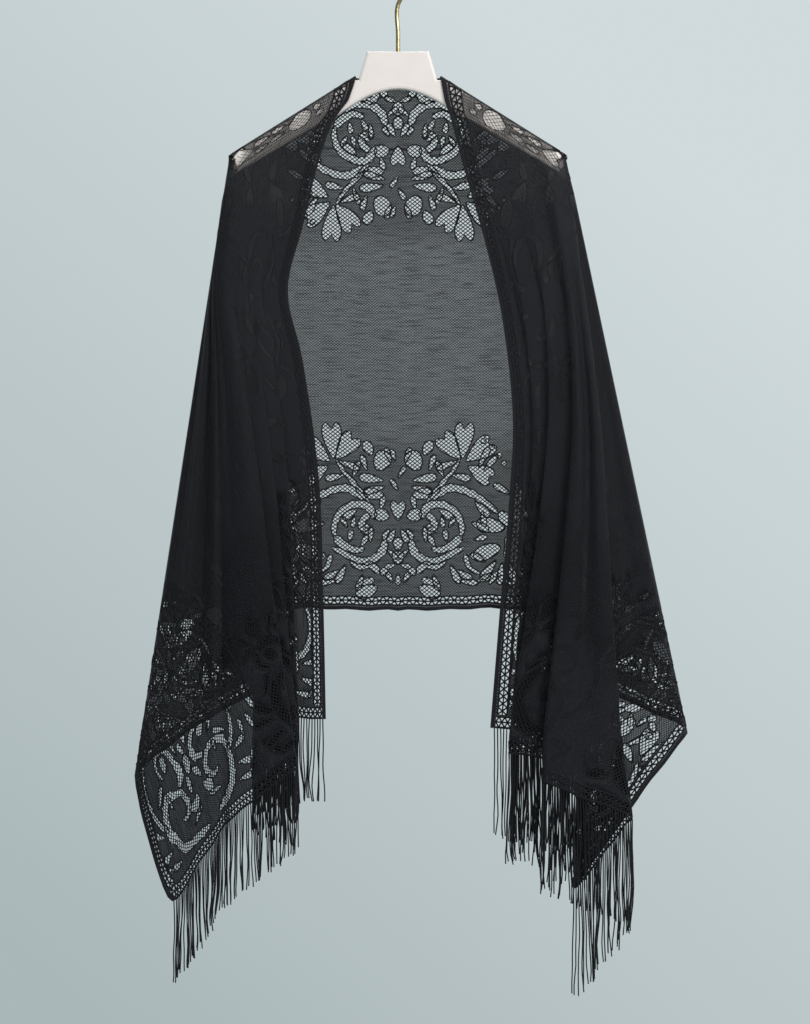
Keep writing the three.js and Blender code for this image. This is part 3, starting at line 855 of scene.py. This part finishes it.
def yarn_shader(tree, place, rib):
    """Black filament yarn, with the fine ribs of its twist as colour and bump."""
    ribs = noise(tree, place, scale=1 / (rib * MM), detail=2.0, roughness=0.6)["Fac"]
    inputs = {
        "Base Color": blend(tree, ribs, YARN, YARN_LIGHT),
        "Roughness": 0.7,
        "Specular IOR Level": 0.22,
        "Sheen Weight": 0.05,
        "Sheen Roughness": 0.5,
        "Normal": relief(tree, ribs, strength=0.35, distance=0.4),
    }
    return node(tree, "ShaderNodeBsdfPrincipled", inputs).outputs[0]


def cord_yarn(tree):
    """The yarn of the cords, the threads and the fringe."""
    return yarn_shader(tree, object_place(tree), CORD_RIB)


def close_knit(tree):
    """Close knit with no holes, as in the selvage."""
    return yarn_shader(tree, cloth_place(tree), KNIT_RIB)


# %% [markdown]
# ## The net
# How much of the net is yarn changes over the cloth. It thickens and thins in slubs, and it is denser under
# the borders. Painted shade makes it denser where the cloth hangs in folds and along a packing crease, and
# painted light makes it more open in front of the hanger's pale arms. All of these are amounts that are added
# to the share that a diamond mesh covers.

# %% Net
NET_PITCH = 2.4
NET_ANGLES = (50, -50)
NET_GAP = 0.55
NET_THREAD = 0.9
SLUB_LONG = 30.0
SLUB_WIDE = 1.2
SLUB_FROM = 0.5
SLUB_FULL = 0.74
SLUB_DENSER = 0.34
ZONE_BEFORE = 20.0
ZONE_AFTER = 30.0
BORDER_TALL = 190.0
BORDER_DENSER = 0.09
END_DENSER = 0.24
# Painted shade: the net is made denser across the hanging folds, so that they look dark.
GATHER_FROM = 230.0
GATHER_TO = 560.0
PAINTED_FOLD_SHADE = 0.2
ARM_TALL = 30.0
# The net is made more open in front of the arms as painted light, so that the cream board shows lighter.
ARM_PAINTED_LIGHT = 0.29
# The crease line is painted shade: the net is made denser along it, as the mesh has no crease there.
CREASE_V = 84.0
CREASE_SHADE_COVER = 0.24


def faded(tree, amount, tests):
    """An amount times a fade for each test: a socket, and where it is none and full, in millimetres."""
    for value, none, full in tests:
        amount = maths(tree, "MULTIPLY", amount, ramp(tree, value, none * MM, full * MM))
    return amount


def over_arm(tree):
    """Painted light: how much more open the net is made in front of the pale arm, so the arm shows lighter.
    """
    place = object_place(tree)
    side = axes_of(tree, vector_maths(tree, "ABSOLUTE", place))[0]
    axes = axes_of(tree, place)
    slope = SHOULDER_TALL / SHOULDER_WIDE
    shoulder = maths(tree, "MULTIPLY_ADD", side, -slope, (NECK[1] + NECK[0] * slope) * MM)
    below = maths(tree, "SUBTRACT", shoulder, axes[2])
    # Less than the arm's height below the shoulder line, in front of the hanger, and short of its tip.
    tests = ((below, ARM_TALL + 1, ARM_TALL - 1), (axes[1], -1.0, -2.5), (side, TIP[0] - 1, TIP[0] - 5))
    return faded(tree, ARM_PAINTED_LIGHT, tests)


def painted_crease_shade(tree, place):
    """Painted shade: a faint dark line across the upper back, for a packing crease that the mesh lacks."""
    axes = axes_of(tree, place)
    side = maths(tree, "ABSOLUTE", axes[0])
    # A line 3 mm tall, which fades out 70 to 95 mm from the middle.
    tests = ((axes[1], CREASE_V - 1, CREASE_V), (axes[1], CREASE_V + 3, CREASE_V + 2), (side, 95, 70))
    return faded(tree, CREASE_SHADE_COVER, tests)


def mesh_threads(tree, place):
    """A diamond mesh: one along its threads, and zero in its gaps."""
    bands = []
    for degrees in NET_ANGLES:
        turned = node(tree, "ShaderNodeMapping", {"Vector": place, "Rotation": (0, 0, math.radians(degrees))})
        wave = node(
            tree,
            "ShaderNodeTexWave",
            {"Vector": turned.outputs[0], "Scale": math.pi / 10 / (NET_PITCH * MM)},
            wave_type="BANDS",
            bands_direction="X",
            wave_profile="SIN",
        )
        bands.append(wave.outputs["Fac"])
    return maths(tree, "MAXIMUM", *bands)


def net_ground(tree, cover_gap, cover_thread):
    """Fine black net, for how much of its gaps and of its threads looks covered."""
    place = cloth_place(tree)
    net = ramp(tree, mesh_threads(tree, place), NET_GAP, NET_THREAD, cover_gap, cover_thread)
    slub_scale = (1 / (SLUB_LONG * MM), 1 / (SLUB_WIDE * MM), 1)
    stretched = node(tree, "ShaderNodeMapping", {"Vector": place, "Scale": slub_scale}).outputs[0]
    slub = noise(tree, stretched, scale=1.0, detail=3.0, roughness=0.7)["Fac"]
    cover = ramp(tree, slub, SLUB_FROM, SLUB_FULL, 0.0, SLUB_DENSER)
    middle = vector_maths(tree, "ADD", place, (0, -WIDTH / 2 * MM, 0))
    across = axes_of(tree, vector_maths(tree, "ABSOLUTE", middle))
    zones = (
        (across[1], WIDTH / 2 - BORDER_TALL, BORDER_DENSER),
        (across[0], HALF_LENGTH - END_BORDER, END_DENSER),
        (across[0], GATHER_FROM, PAINTED_FOLD_SHADE),
        (across[0], GATHER_TO, PAINTED_FOLD_SHADE),
    )
    border, end_border, painted_fold_shade, painted_fold_shade_end = (
        ramp(
            tree,
            axis,
            (start - ZONE_BEFORE) * MM,
            (start + ZONE_AFTER) * MM,
            end=amount,
            interpolation_type="SMOOTHSTEP",
        )
        for axis, start, amount in zones
    )
    # The fold zone and the crease line add painted shade, and the front of the arms is made more open as
    # painted light.
    changes = (
        ("ADD", maths(tree, "MAXIMUM", border, end_border)),
        ("ADD", painted_fold_shade),
        ("SUBTRACT", painted_fold_shade_end),
        ("SUBTRACT", over_arm(tree)),
        ("ADD", painted_crease_shade(tree, place)),
    )
    for operation, amount in changes:
        cover = maths(tree, operation, cover, amount)
    share = maths(tree, "ADD", net, cover, use_clamp=True)
    clear = node(tree, "ShaderNodeBsdfTransparent").outputs[0]
    yarn = yarn_shader(tree, place, KNIT_RIB)
    return node(tree, "ShaderNodeMixShader", {0: share, 1: clear, 2: yarn}).outputs[0]


cord_material = material_of("black_polyester_cord", cord_yarn)
knit_material = material_of("black_close_knit", close_knit)
ground_material = material_of("black_raschel_net", net_ground, cover_gap=0.42, cover_thread=0.7)
# The thin net is painted shade: it closes the flowers and bands in the folds, where the layers make it dark.
fold_shade_net = material_of("black_net_as_fold_shade", net_ground, cover_gap=0.27, cover_thread=0.56)
cloth_materials = (ground_material, knit_material, fold_shade_net)
print("materials of the cloth", [material.name for material in (cord_material, *cloth_materials)])

# %% [markdown]
# ## The ground, with its openings cut out
# The flat cloth is cut as paper is: the lattice's rays and all the outlines are laid on one plane, and a
# constrained triangulation joins them, so that no triangle crosses a fold or an outline. Triangles inside an
# open flower are left out, and threads take their place later. Then each corner goes to its hung place.

# %% Strips along the edges
# Each band is left out from its outer to its inner distance from the edge, and threads fill it later.
SELVAGE = 5.0
SELVAGE_FROM = 0.3
BAND_OUTER = 6.0
BAND_INNER = 15.0
BAND_STOP = 3.0
END_BAND_OUTER = 1.6
END_BAND_INNER = 13.6
STRIP_STEP = 12


def strip(u0, v0, u1, v1):
    """A long straight strip as an outline, in short steps so that it follows the folds."""
    count = max(2, round(max(abs(u1 - u0), abs(v1 - v0)) / STRIP_STEP))
    if abs(u1 - u0) > abs(v1 - v0):
        u = np.linspace(u0, u1, count)
        there, back = np.stack([u, 0 * u + v0], 1), np.stack([u[::-1], 0 * u + v1], 1)
    else:
        v = np.linspace(v0, v1, count)
        there, back = np.stack([0 * v + u0, v], 1), np.stack([0 * v + u1, v[::-1]], 1)
    return np.concatenate([there, back])


band_end = HALF_LENGTH - END_BAND_INNER - BAND_STOP
selvage_end = HALF_LENGTH - 1
open_bands = [
    strip(-band_end, BAND_OUTER, band_end, BAND_INNER),
    strip(-band_end, WIDTH - BAND_INNER, band_end, WIDTH - BAND_OUTER),
]
for side in (LEFT, RIGHT):
    outer, inner = side * (HALF_LENGTH - END_BAND_OUTER), side * (HALF_LENGTH - END_BAND_INNER)
    open_bands.append(strip(outer, SELVAGE, inner, WIDTH - SELVAGE))
selvages = [
    strip(-selvage_end, SELVAGE_FROM, selvage_end, SELVAGE - 1),
    strip(-selvage_end, WIDTH - SELVAGE + 1, selvage_end, WIDTH - SELVAGE_FROM),
]


# %% Cut the flat cloth
RIDGE_CLOSED = 5.0
ON_EDGE = 0.02
SAME_PLACE = 0.01
NET, CLOSE_KNIT, FOLD_SHADE_NET_FINISH = range(3)


def inside(outline, points):
    """Whether each point lies in an outline: a ray to its right crosses the edge an odd number of times."""
    found = np.zeros(len(points), bool)
    near = np.all((points > outline.min(0)) & (points < outline.max(0)), axis=1).nonzero()[0]
    x, y = points[near, 0][:, None], points[near, 1][:, None]
    a, b = outline[None, :, :], np.roll(outline, -1, axis=0)[None, :, :]
    spans = (a[..., 1] > y) != (b[..., 1] > y)
    rise = np.where(spans, b[..., 1] - a[..., 1], 1)
    meets = a[..., 0] + (y - a[..., 1]) * (b[..., 0] - a[..., 0]) / rise
    found[near] = (spans & (meets > x)).sum(1) % 2 == 1
    return found


def within(shapes, points):
    """Whether each point lies in any of some outlines."""
    found = np.zeros(len(points), bool)
    for shape in shapes:
        found |= inside(shape, points)
    return found


def cut_cloth():
    """(flat corners, triangles, the finish of each triangle) of the cloth without its openings."""
    corners = cloth_map.flat.tolist()
    edges = [pair for line in cloth_map.lines for pair in zip(line, line[1:])]
    for outline in open_bands + selvages + outlines:
        start, count = len(corners), len(outline)
        corners += outline.tolist()
        edges += [(start + k, start + (k + 1) % count) for k in range(count)]
    found = delaunay_2d_cdt([Vector(c) for c in corners], edges, [], 0, SAME_PLACE, False)
    flat = np.array([v[:] for v in found[0]])
    triangles = np.array([face[:] for face in found[2]])
    middles = flat[triangles].mean(1)
    knit = within(selvages, middles)
    bands, folds = within(open_bands, middles), in_folds(middles)
    opened = within(open_outlines, middles) | bands & ~folds
    # The triangulation leaves slivers between the ends of the rays, with all corners on one edge.
    u, v = flat.T
    cloth_edges = ((v, 0), (v, WIDTH), (u, -HALF_LENGTH), (u, HALF_LENGTH))
    on_edge = [np.abs(axis - at) < ON_EDGE for axis, at in cloth_edges]
    slivers = np.any([on[triangles].all(1) for on in on_edge], axis=0)
    side = np.abs(middles[:, 0])
    along = np.clip((side - NECK[0]) / SHOULDER_WIDE, 0, 1)
    ridge = np.stack([NECK[0] + along * SHOULDER_WIDE, along * SHOULDER_TALL], 1)
    on_ridge = np.linalg.norm(np.stack([side, middles[:, 1]], 1) - ridge, axis=1) < RIDGE_CLOSED
    # Over the ridge the border stays closed, and only the flowers over the arms are open.
    opened = opened & ~on_ridge | within(yoke_outlines, middles)
    # Flowers and bands in the folds are not opened but get the thin net, as painted shade.
    thin = (within(folded_outlines, middles) | bands & folds) & ~opened & ~knit
    kept = (knit | ~opened) & ~slivers
    finish = np.where(knit, CLOSE_KNIT, np.where(thin, FOLD_SHADE_NET_FINISH, NET))
    return flat, triangles[kept].tolist(), finish[kept]


flat, triangles, finish = cut_cloth()
print("cloth", len(flat), "points", len(triangles), "triangles")
print("close knit", int((finish == CLOSE_KNIT).sum()), "and thin net", int((finish == FOLD_SHADE_NET_FINISH).sum()))

# %% Make the ground
GROUND_THICK = 0.5


def cloth_object():
    """The hung ground with its UV map, its three materials and its thickness."""
    mesh = bpy.data.meshes.new("lace_ground")
    hung = cloth_map.hung(flat) * MM
    mesh.from_pydata(hung.tolist(), [], triangles)
    mesh.update()
    layer = mesh.uv_layers.new(name="cloth")
    corner = np.empty(len(mesh.loops), int)
    mesh.loops.foreach_get("vertex_index", corner)
    layer.data.foreach_set("uv", (flat[corner] * MM).ravel())
    for material in cloth_materials:
        mesh.materials.append(material)
    mesh.polygons.foreach_set("material_index", finish.astype(np.int32))
    mesh.polygons.foreach_set("use_smooth", [True] * len(mesh.polygons))
    ground = bpy.data.objects.new("lace_ground", mesh)
    bpy.context.scene.collection.objects.link(ground)
    wall = ground.modifiers.new("wall", "SOLIDIFY")
    wall.thickness = GROUND_THICK * MM
    wall.offset = 0
    return ground


ground = cloth_object()

# %% [markdown]
# ## Threads and cords
# Open petals are filled with a diamond net, and a heavier cord runs round each one. On the flat cloth the net
# is two families of straight lines, clipped by the outline. Each line is carried onto the hung cloth as a
# path, and Geometry Nodes turn all paths into round threads. Real threads, and not a printed pattern, let the
# folds behind and the wall show through. The real net is finer, and is drawn coarser here so that it shows.

# %% Paths on the cloth
FILL_PITCH = 3.4
ARM_PITCH = 4.0
FILL_ANGLES = (38, -38)
THREAD_STEP = 11.0
LEAST_THREAD = 1.5
OFF_CORNERS = 1e-4
CORD_STEP = 16.0


def clipped_lines(outline, pitch, degrees):
    """Straight lines at one angle that fill an outline, each as points a step apart."""
    angle = math.radians(degrees)
    turn = np.array([[math.cos(angle), -math.sin(angle)], [math.sin(angle), math.cos(angle)]])
    here = outline @ turn
    there = np.roll(here, -1, axis=0)
    lines = []
    first, last = math.ceil(here[:, 1].min() / pitch), math.floor(here[:, 1].max() / pitch)
    for n in range(first, last + 1):
        level = n * pitch + OFF_CORNERS
        crossing = (here[:, 1] > level) != (there[:, 1] > level)
        a, b = here[crossing], there[crossing]
        stops = np.sort(a[:, 0] + (level - a[:, 1]) * (b[:, 0] - a[:, 0]) / (b[:, 1] - a[:, 1]))
        for start, stop in zip(stops[::2], stops[1::2]):
            if stop - start < LEAST_THREAD:
                continue
            along = np.linspace(start, stop, 1 + math.ceil((stop - start) / THREAD_STEP))
            lines.append(np.stack([along, np.full(len(along), level)], 1) @ turn.T)
    return lines


def zigzag(u0, v0, u1, v1, pitch, swing):
    """A thread that goes to and fro along a straight band."""
    start, end = np.array([u0, v0]), np.array([u1, v1])
    length = np.linalg.norm(end - start)
    count = 2 * round(length / pitch)
    along = (end - start) / length
    across = np.array([-along[1], along[0]])
    share = np.arange(count + 1)[:, None] / count
    side = np.where(np.arange(count + 1) % 2, 1, -1)[:, None] * swing / 2
    return start + (end - start) * share + across * side


def straight(u0, v0, u1, v1):
    """A cord along a straight line."""
    return zigzag(u0, v0, u1, v1, CORD_STEP, 0.0)


# %% Threads made by Geometry Nodes
THREAD_SIDES = 3


def geometry_tree(name, **inputs):
    """A Geometry Nodes tree with a geometry in and out, and further inputs by name and kind."""
    tree = bpy.data.node_groups.new(name, "GeometryNodeTree")
    tree.interface.new_socket("Geometry", in_out="INPUT", socket_type="NodeSocketGeometry")
    for key, kind in inputs.items():
        tree.interface.new_socket(key, in_out="INPUT", socket_type="NodeSocket" + kind)
    tree.interface.new_socket("Geometry", in_out="OUTPUT", socket_type="NodeSocketGeometry")
    return tree, tree.nodes.new("NodeGroupInput").outputs


def round_threads(tree, given, curve, sides):
    """Ends a tree: a curve becomes round threads of the given Thickness and Material."""
    radius = maths(tree, "MULTIPLY", given["Thickness"], 0.5)
    ring = node(tree, "GeometryNodeCurvePrimitiveCircle", {"Resolution": sides, "Radius": radius}).outputs[0]
    tube = node(tree, "GeometryNodeCurveToMesh", {"Curve": curve, "Profile Curve": ring, "Fill Caps": True})
    whole = node(tree, "GeometryNodeRealizeInstances", {"Geometry": tube.outputs[0]}).outputs[0]
    done = node(tree, "GeometryNodeSetMaterial", {"Geometry": whole, "Material": given["Material"]})
    node(tree, "NodeGroupOutput", {0: done.outputs[0]})
    return tree


def thread_tree():
    """Paths to round threads."""
    tree, given = geometry_tree("thread_round_a_path", Thickness="Float", Material="Material")
    path = node(tree, "GeometryNodeMeshToCurve", {"Mesh": given["Geometry"]}).outputs[0]
    return round_threads(tree, given, path, THREAD_SIDES)


def made_plain(name, source, tree, values):
    """Runs a Geometry Nodes tree on a mesh, and returns the result as a plain object."""
    made = bpy.data.objects.new(name + "_path", source)
    bpy.context.scene.collection.objects.link(made)
    modifier = made.modifiers.new("nodes", "NODES")
    modifier.node_group = tree
    keys = {s.name: s.identifier for s in tree.interface.items_tree if s.in_out == "INPUT"}
    for key, value in values.items():
        modifier[keys[key]] = value
    graph = bpy.context.evaluated_depsgraph_get()
    mesh = bpy.data.meshes.new_from_object(made.evaluated_get(graph), depsgraph=graph)
    bpy.data.objects.remove(made)
    mesh.name = name
    plain = bpy.data.objects.new(name, mesh)
    bpy.context.scene.collection.objects.link(plain)
    return plain


def triangle_count(made):
    """How many triangles a piece's mesh comes to."""
    return sum(len(p.vertices) - 2 for p in made.data.polygons)


thread_nodes = thread_tree()


# %% Make the threads
PETAL_THREAD = 1.3
ARM_THREAD = 0.6
OUTLINE_CORD = 1.8
FINE_CORD = 1.2


def threads(name, paths, thickness, closed=False):
    """One object of threads along paths of the flat cloth."""
    hung = cloth_map.hung(np.concatenate(paths)) * MM
    edges, start = [], 0
    for path in paths:
        count = len(path)
        edges += [(start + k, start + k + 1) for k in range(count - 1)]
        if closed:
            edges.append((start + count - 1, start))
        start += count
    mesh = bpy.data.meshes.new(name + "_path")
    mesh.from_pydata(hung.tolist(), edges, [])
    made = made_plain(name, mesh, thread_nodes, {"Thickness": thickness * MM, "Material": cord_material})
    print(name, len(paths), "paths", triangle_count(made), "triangles")
    return made


def fill_of(shapes, pitch):
    """The net inside several outlines."""
    turns = [(shape, degrees) for shape in shapes for degrees in FILL_ANGLES]
    return [line for shape, degrees in turns for line in clipped_lines(shape, pitch, degrees)]


petal_net = threads("petal_net", fill_of(open_outlines, FILL_PITCH), PETAL_THREAD)
arm_paths = [flat_from_yoke(side, line) for side in (LEFT, RIGHT) for line in fill_of(yoke_shapes, ARM_PITCH)]
arm_net = threads("arm_net", arm_paths, ARM_THREAD)
outline_cord = threads("outline_cord", open_outlines, OUTLINE_CORD, closed=True)
fine_cord = threads("fine_cord", folded_outlines + yoke_outlines, FINE_CORD, closed=True)

# %% The bands along the edges
BAND_PITCH = 8.6
END_BAND_PITCH = 5.7
ZIGZAG_THICK = 2.1
BAND_CORD_THICK = 2.2
zigzags, band_cords = [], []
for v_outer, v_inner in ((BAND_OUTER, BAND_INNER), (WIDTH - BAND_OUTER, WIDTH - BAND_INNER)):
    middle = (v_outer + v_inner) / 2
    for a, b in ((v_outer, middle), (v_inner, middle)):
        zigzags.append(zigzag(-band_end, (a + b) / 2, band_end, (a + b) / 2, BAND_PITCH, b - a))
    band_cords += [straight(-band_end, v, band_end, v) for v in (v_outer, middle, v_inner)]
for side in (LEFT, RIGHT):
    outer, inner = side * (HALF_LENGTH - END_BAND_OUTER), side * (HALF_LENGTH - END_BAND_INNER)
    middle = (outer + inner) / 2
    for a, b in ((outer, middle), (inner, middle)):
        zigzags.append(zigzag((a + b) / 2, SELVAGE, (a + b) / 2, WIDTH - SELVAGE, END_BAND_PITCH, b - a))
    band_cords += [straight(u, SELVAGE, u, WIDTH - SELVAGE) for u in (outer, middle, inner)]
runs = [path[k : k + 2] for path in zigzags for k in range(len(path) - 1)]
zigzag_threads = threads("zigzag_threads", runs, ZIGZAG_THICK)
band_cord = threads("band_cords", band_cords, BAND_CORD_THICK)

# %% [markdown]
# ## The fringe
# The fringe is cut yarn, knotted through the end of the cloth. Its strands hang straight down from a hem that
# is folded, and each is a little longer, shorter or more wavy than the next. Geometry Nodes suit it: one
# strand, copied along the hem's path, with its length and sway drawn from a fixed seed.

# %% Fringe strands
STRANDS = 186
STRAND_THICK = 1.5
STRAND_POINTS = 12
STRAND_SIDES = 5
STRAND_SHORTER = 0.06
STRAND_LEAN = 0.035
FULL_TURN = 6.28
SWAY = 0.017
SWAY_WAVES = (90.0, 90.0, 14.0)
FRINGE_LENGTH = {LEFT: 95.0, RIGHT: 126.0}
FRINGE_SEED = {LEFT: 3, RIGHT: 8}
HEM_SAMPLES = 300
HEM_STOP = 4
HEM_INSET = 0.5


def random_value(tree, seed, kind, inputs):
    """A Random Value node's outputs."""
    return node(tree, "FunctionNodeRandomValue", {**inputs, "Seed": seed}, data_type=kind).outputs


def hung_strands(tree, given):
    """Straight strands hung from the given path, each of its own length, lean and turn."""
    hem = node(tree, "GeometryNodeMeshToCurve", {"Mesh": given["Geometry"]}).outputs[0]
    knots = node(tree, "GeometryNodeResampleCurve", {"Curve": hem, "Count": given["Strands"]}).outputs[0]
    line = node(tree, "GeometryNodeCurvePrimitiveLine", {"Start": (0, 0, 0), "End": (0, 0, -1)}).outputs[0]
    strand = node(tree, "GeometryNodeResampleCurve", {"Curve": line, "Count": STRAND_POINTS}).outputs[0]
    share = random_value(tree, given["Seed"], "FLOAT", {2: 1 - STRAND_SHORTER, 3: 1.0})[1]
    length = maths(tree, "MULTIPLY", given["Length"], share)
    size = node(tree, "ShaderNodeCombineXYZ", {0: 1.0, 1: 1.0, 2: length}).outputs[0]
    least, most = (-STRAND_LEAN, -STRAND_LEAN, 0), (STRAND_LEAN, STRAND_LEAN, FULL_TURN)
    lean = random_value(tree, given["Seed"], "FLOAT_VECTOR", {0: least, 1: most})[0]
    inputs = {"Points": knots, "Instance": strand, "Rotation": lean, "Scale": size}
    hung = node(tree, "GeometryNodeInstanceOnPoints", inputs).outputs[0]
    return node(tree, "GeometryNodeRealizeInstances", {"Geometry": hung}).outputs[0]


def fringe_tree():
    """Strands hung from a path, which sway sideways more and more on their way down."""
    kinds = {"Strands": "Int", "Length": "Float", "Thickness": "Float", "Seed": "Int", "Material": "Material"}
    tree, given = geometry_tree("fringe_from_a_hem", **kinds)
    strands = hung_strands(tree, given)
    place = node(tree, "GeometryNodeInputPosition").outputs[0]
    stretched = vector_maths(tree, "MULTIPLY", place, SWAY_WAVES)
    waves = noise(tree, stretched, scale=1.0, detail=1.0)["Color"]
    centred = vector_maths(tree, "SUBTRACT", waves, (0.5, 0.5, 0.5))
    sideways = vector_maths(tree, "MULTIPLY", centred, (1.0, 1.0, 0.0))
    down = node(tree, "GeometryNodeSplineParameter").outputs["Factor"]
    reach = maths(tree, "MULTIPLY", SWAY, down)
    offset = node(tree, "ShaderNodeVectorMath", {0: sideways, 3: reach}, operation="SCALE").outputs[0]
    swayed = node(tree, "GeometryNodeSetPosition", {"Geometry": strands, "Offset": offset}).outputs[0]
    return round_threads(tree, given, swayed, STRAND_SIDES)


fringe_nodes = fringe_tree()


def fringe(side, name):
    """The strands of one short end."""
    v = np.linspace(HEM_STOP, WIDTH - HEM_STOP, HEM_SAMPLES)
    hem = cloth_map.hung(np.stack([0 * v + side * (HALF_LENGTH - HEM_INSET), v], 1)) * MM
    mesh = bpy.data.meshes.new(name + "_hem")
    mesh.from_pydata(hem.tolist(), [(k, k + 1) for k in range(len(v) - 1)], [])
    values = {
        "Strands": STRANDS,
        "Length": FRINGE_LENGTH[side] * MM,
        "Thickness": STRAND_THICK * MM,
        "Seed": FRINGE_SEED[side],
        "Material": cord_material,
    }
    made = made_plain(name, mesh, fringe_nodes, values)
    print(name, len(made.data.polygons), "faces", triangle_count(made), "triangles")
    return made


fringes = {
    "fringe_left": fringe(LEFT, "fringe_strands_left"),
    "fringe_right": fringe(RIGHT, "fringe_strands_right"),
}

# %% [markdown]
# ## The hanger
# The hanger is plain moulded plastic in a warm cream, with the soft gloss of a satin mould, and its hook is
# bent brass-plated wire. Their CAD solids already have the right form, so they only get their finish.

# %% Hanger finishes
CREAM = "#ecdfd9"
CREAM_SHADE = "#e2d4cd"
BRASS = "#938664"
BRASS_DULL = "#6a5a44"


def satin_plastic(tree):
    """Cream ABS from a satin mould: soft gloss, and a faint unevenness that only shows in highlights."""
    place = object_place(tree)
    cloud = noise(tree, place, scale=40.0, detail=2.0)["Fac"]
    grain = noise(tree, place, scale=1 / (0.8 * MM), detail=1.0)["Fac"]
    inputs = {
        "Base Color": blend(tree, cloud, CREAM, CREAM_SHADE),
        "Roughness": 0.38,
        "IOR": 1.54,
        "Normal": relief(tree, grain, strength=0.08, distance=0.1),
    }
    return node(tree, "ShaderNodeBsdfPrincipled", inputs).outputs[0]


def plated_wire(tree):
    """Brass-plated steel wire: bright, with a light tarnish in patches."""
    tarnish = noise(tree, object_place(tree), scale=130.0, detail=3.0)["Fac"]
    inputs = {
        "Base Color": blend(tree, ramp(tree, tarnish, 0.45, 0.75, end=0.7), BRASS, BRASS_DULL),
        "Metallic": 1.0,
        "Roughness": ramp(tree, tarnish, 0.0, 1.0, 0.16, 0.34),
    }
    return node(tree, "ShaderNodeBsdfPrincipled", inputs).outputs[0]


def finish_node(name, material):
    """Gives a CAD node its material."""
    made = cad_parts[name]
    made.data.materials.clear()
    made.data.materials.append(material)


finish_node("hanger_board", material_of("cream_satin_abs", satin_plastic))
finish_node("hanger_hook", material_of("brass_plated_wire", plated_wire))
print("hanger finishes set")

# %% [markdown]
# ## What goes with what
# All of the cloth is one sheet: its ground, threads, cords and fringe go together. It was cut to
# 1650 x 610 mm before it was hung.

# %% Tell the frame
for piece in (ground, petal_net, arm_net, outline_cord, fine_cord, zigzag_threads, band_cord):
    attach(piece, "root")
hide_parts("cloth_back", "cloth_front_left", "cloth_front_right")
for name, piece in fringes.items():
    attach(piece, "root")
    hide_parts(name)

# %% [markdown]
# ## Floor, backdrop and light
# The photograph has a pale blue-grey wall and soft light from the front and a little from the right. The
# world gives the wall's colour, so that every view has it: dimmer low on the left, and brighter high on the
# right. A pale floor lies well below the fringe. Large area lights keep the shadows soft, which suits black
# yarn: its ribs show only in broad highlights.

# %% Wall and floor
WALL_LIT = "#d0dadc"
WALL_DIM = "#aab7b9"
SLANT = (0.8, 0.0, 1.0)
SLANT_DIM, SLANT_LIT = -0.26, 0.2
FLOOR = "#c6d2d5"
FLOOR_Z = -1.9
FLOOR_REACH = 2.4

bpy.context.scene.view_settings.view_transform = "Standard"
world = bpy.data.worlds.new("pale_wall")
bpy.context.scene.world = world
world.use_nodes = True
sky = world.node_tree
toward = node(sky, "ShaderNodeTexCoord").outputs["Generated"]
slant = node(sky, "ShaderNodeVectorMath", {0: toward, 1: SLANT}, operation="DOT_PRODUCT").outputs["Value"]
wall_colour = blend(sky, ramp(sky, slant, SLANT_DIM, SLANT_LIT), WALL_DIM, WALL_LIT)
sky.links.new(wall_colour, sky.nodes["Background"].inputs[0])


def floor_paint(tree):
    """Matt paint in the wall's colour."""
    return node(tree, "ShaderNodeBsdfPrincipled", {"Base Color": linear(FLOOR), "Roughness": 0.9}).outputs[0]


floor_mesh = bpy.data.meshes.new("floor")
floor_corners = [(x * FLOOR_REACH, y * FLOOR_REACH, FLOOR_Z) for x, y in ((-1, -1), (1, -1), (1, 1), (-1, 1))]
floor_mesh.from_pydata(floor_corners, [], [(0, 1, 2, 3)])
floor_mesh.materials.append(material_of("pale_floor", floor_paint))
floor = bpy.data.objects.new("floor", floor_mesh)
bpy.context.scene.collection.objects.link(floor)


# %% Lights
def area_light(name, place, aim, size, power):
    """A large soft light that looks at a point, with its size in metres and its power in watts."""
    data = bpy.data.lights.new(name, "AREA")
    data.shape = "DISK"
    data.size = size
    data.energy = power
    light = bpy.data.objects.new(name, data)
    light.visible_camera = False
    bpy.context.scene.collection.objects.link(light)
    light.location = place
    light.rotation_euler = (Vector(aim) - Vector(place)).to_track_quat("-Z", "Y").to_euler()


area_light("key", (1.2, -1.4, 0.5), aim=(0, 0, -0.6), size=0.8, power=17)
area_light("front", (-0.2, -2.6, 0.9), aim=(0, 0, -0.4), size=1.4, power=13)
area_light("back", (0.4, 1.8, 0.9), aim=(0, 0, -0.5), size=1.4, power=16)
print("three lights, a floor and a wall")
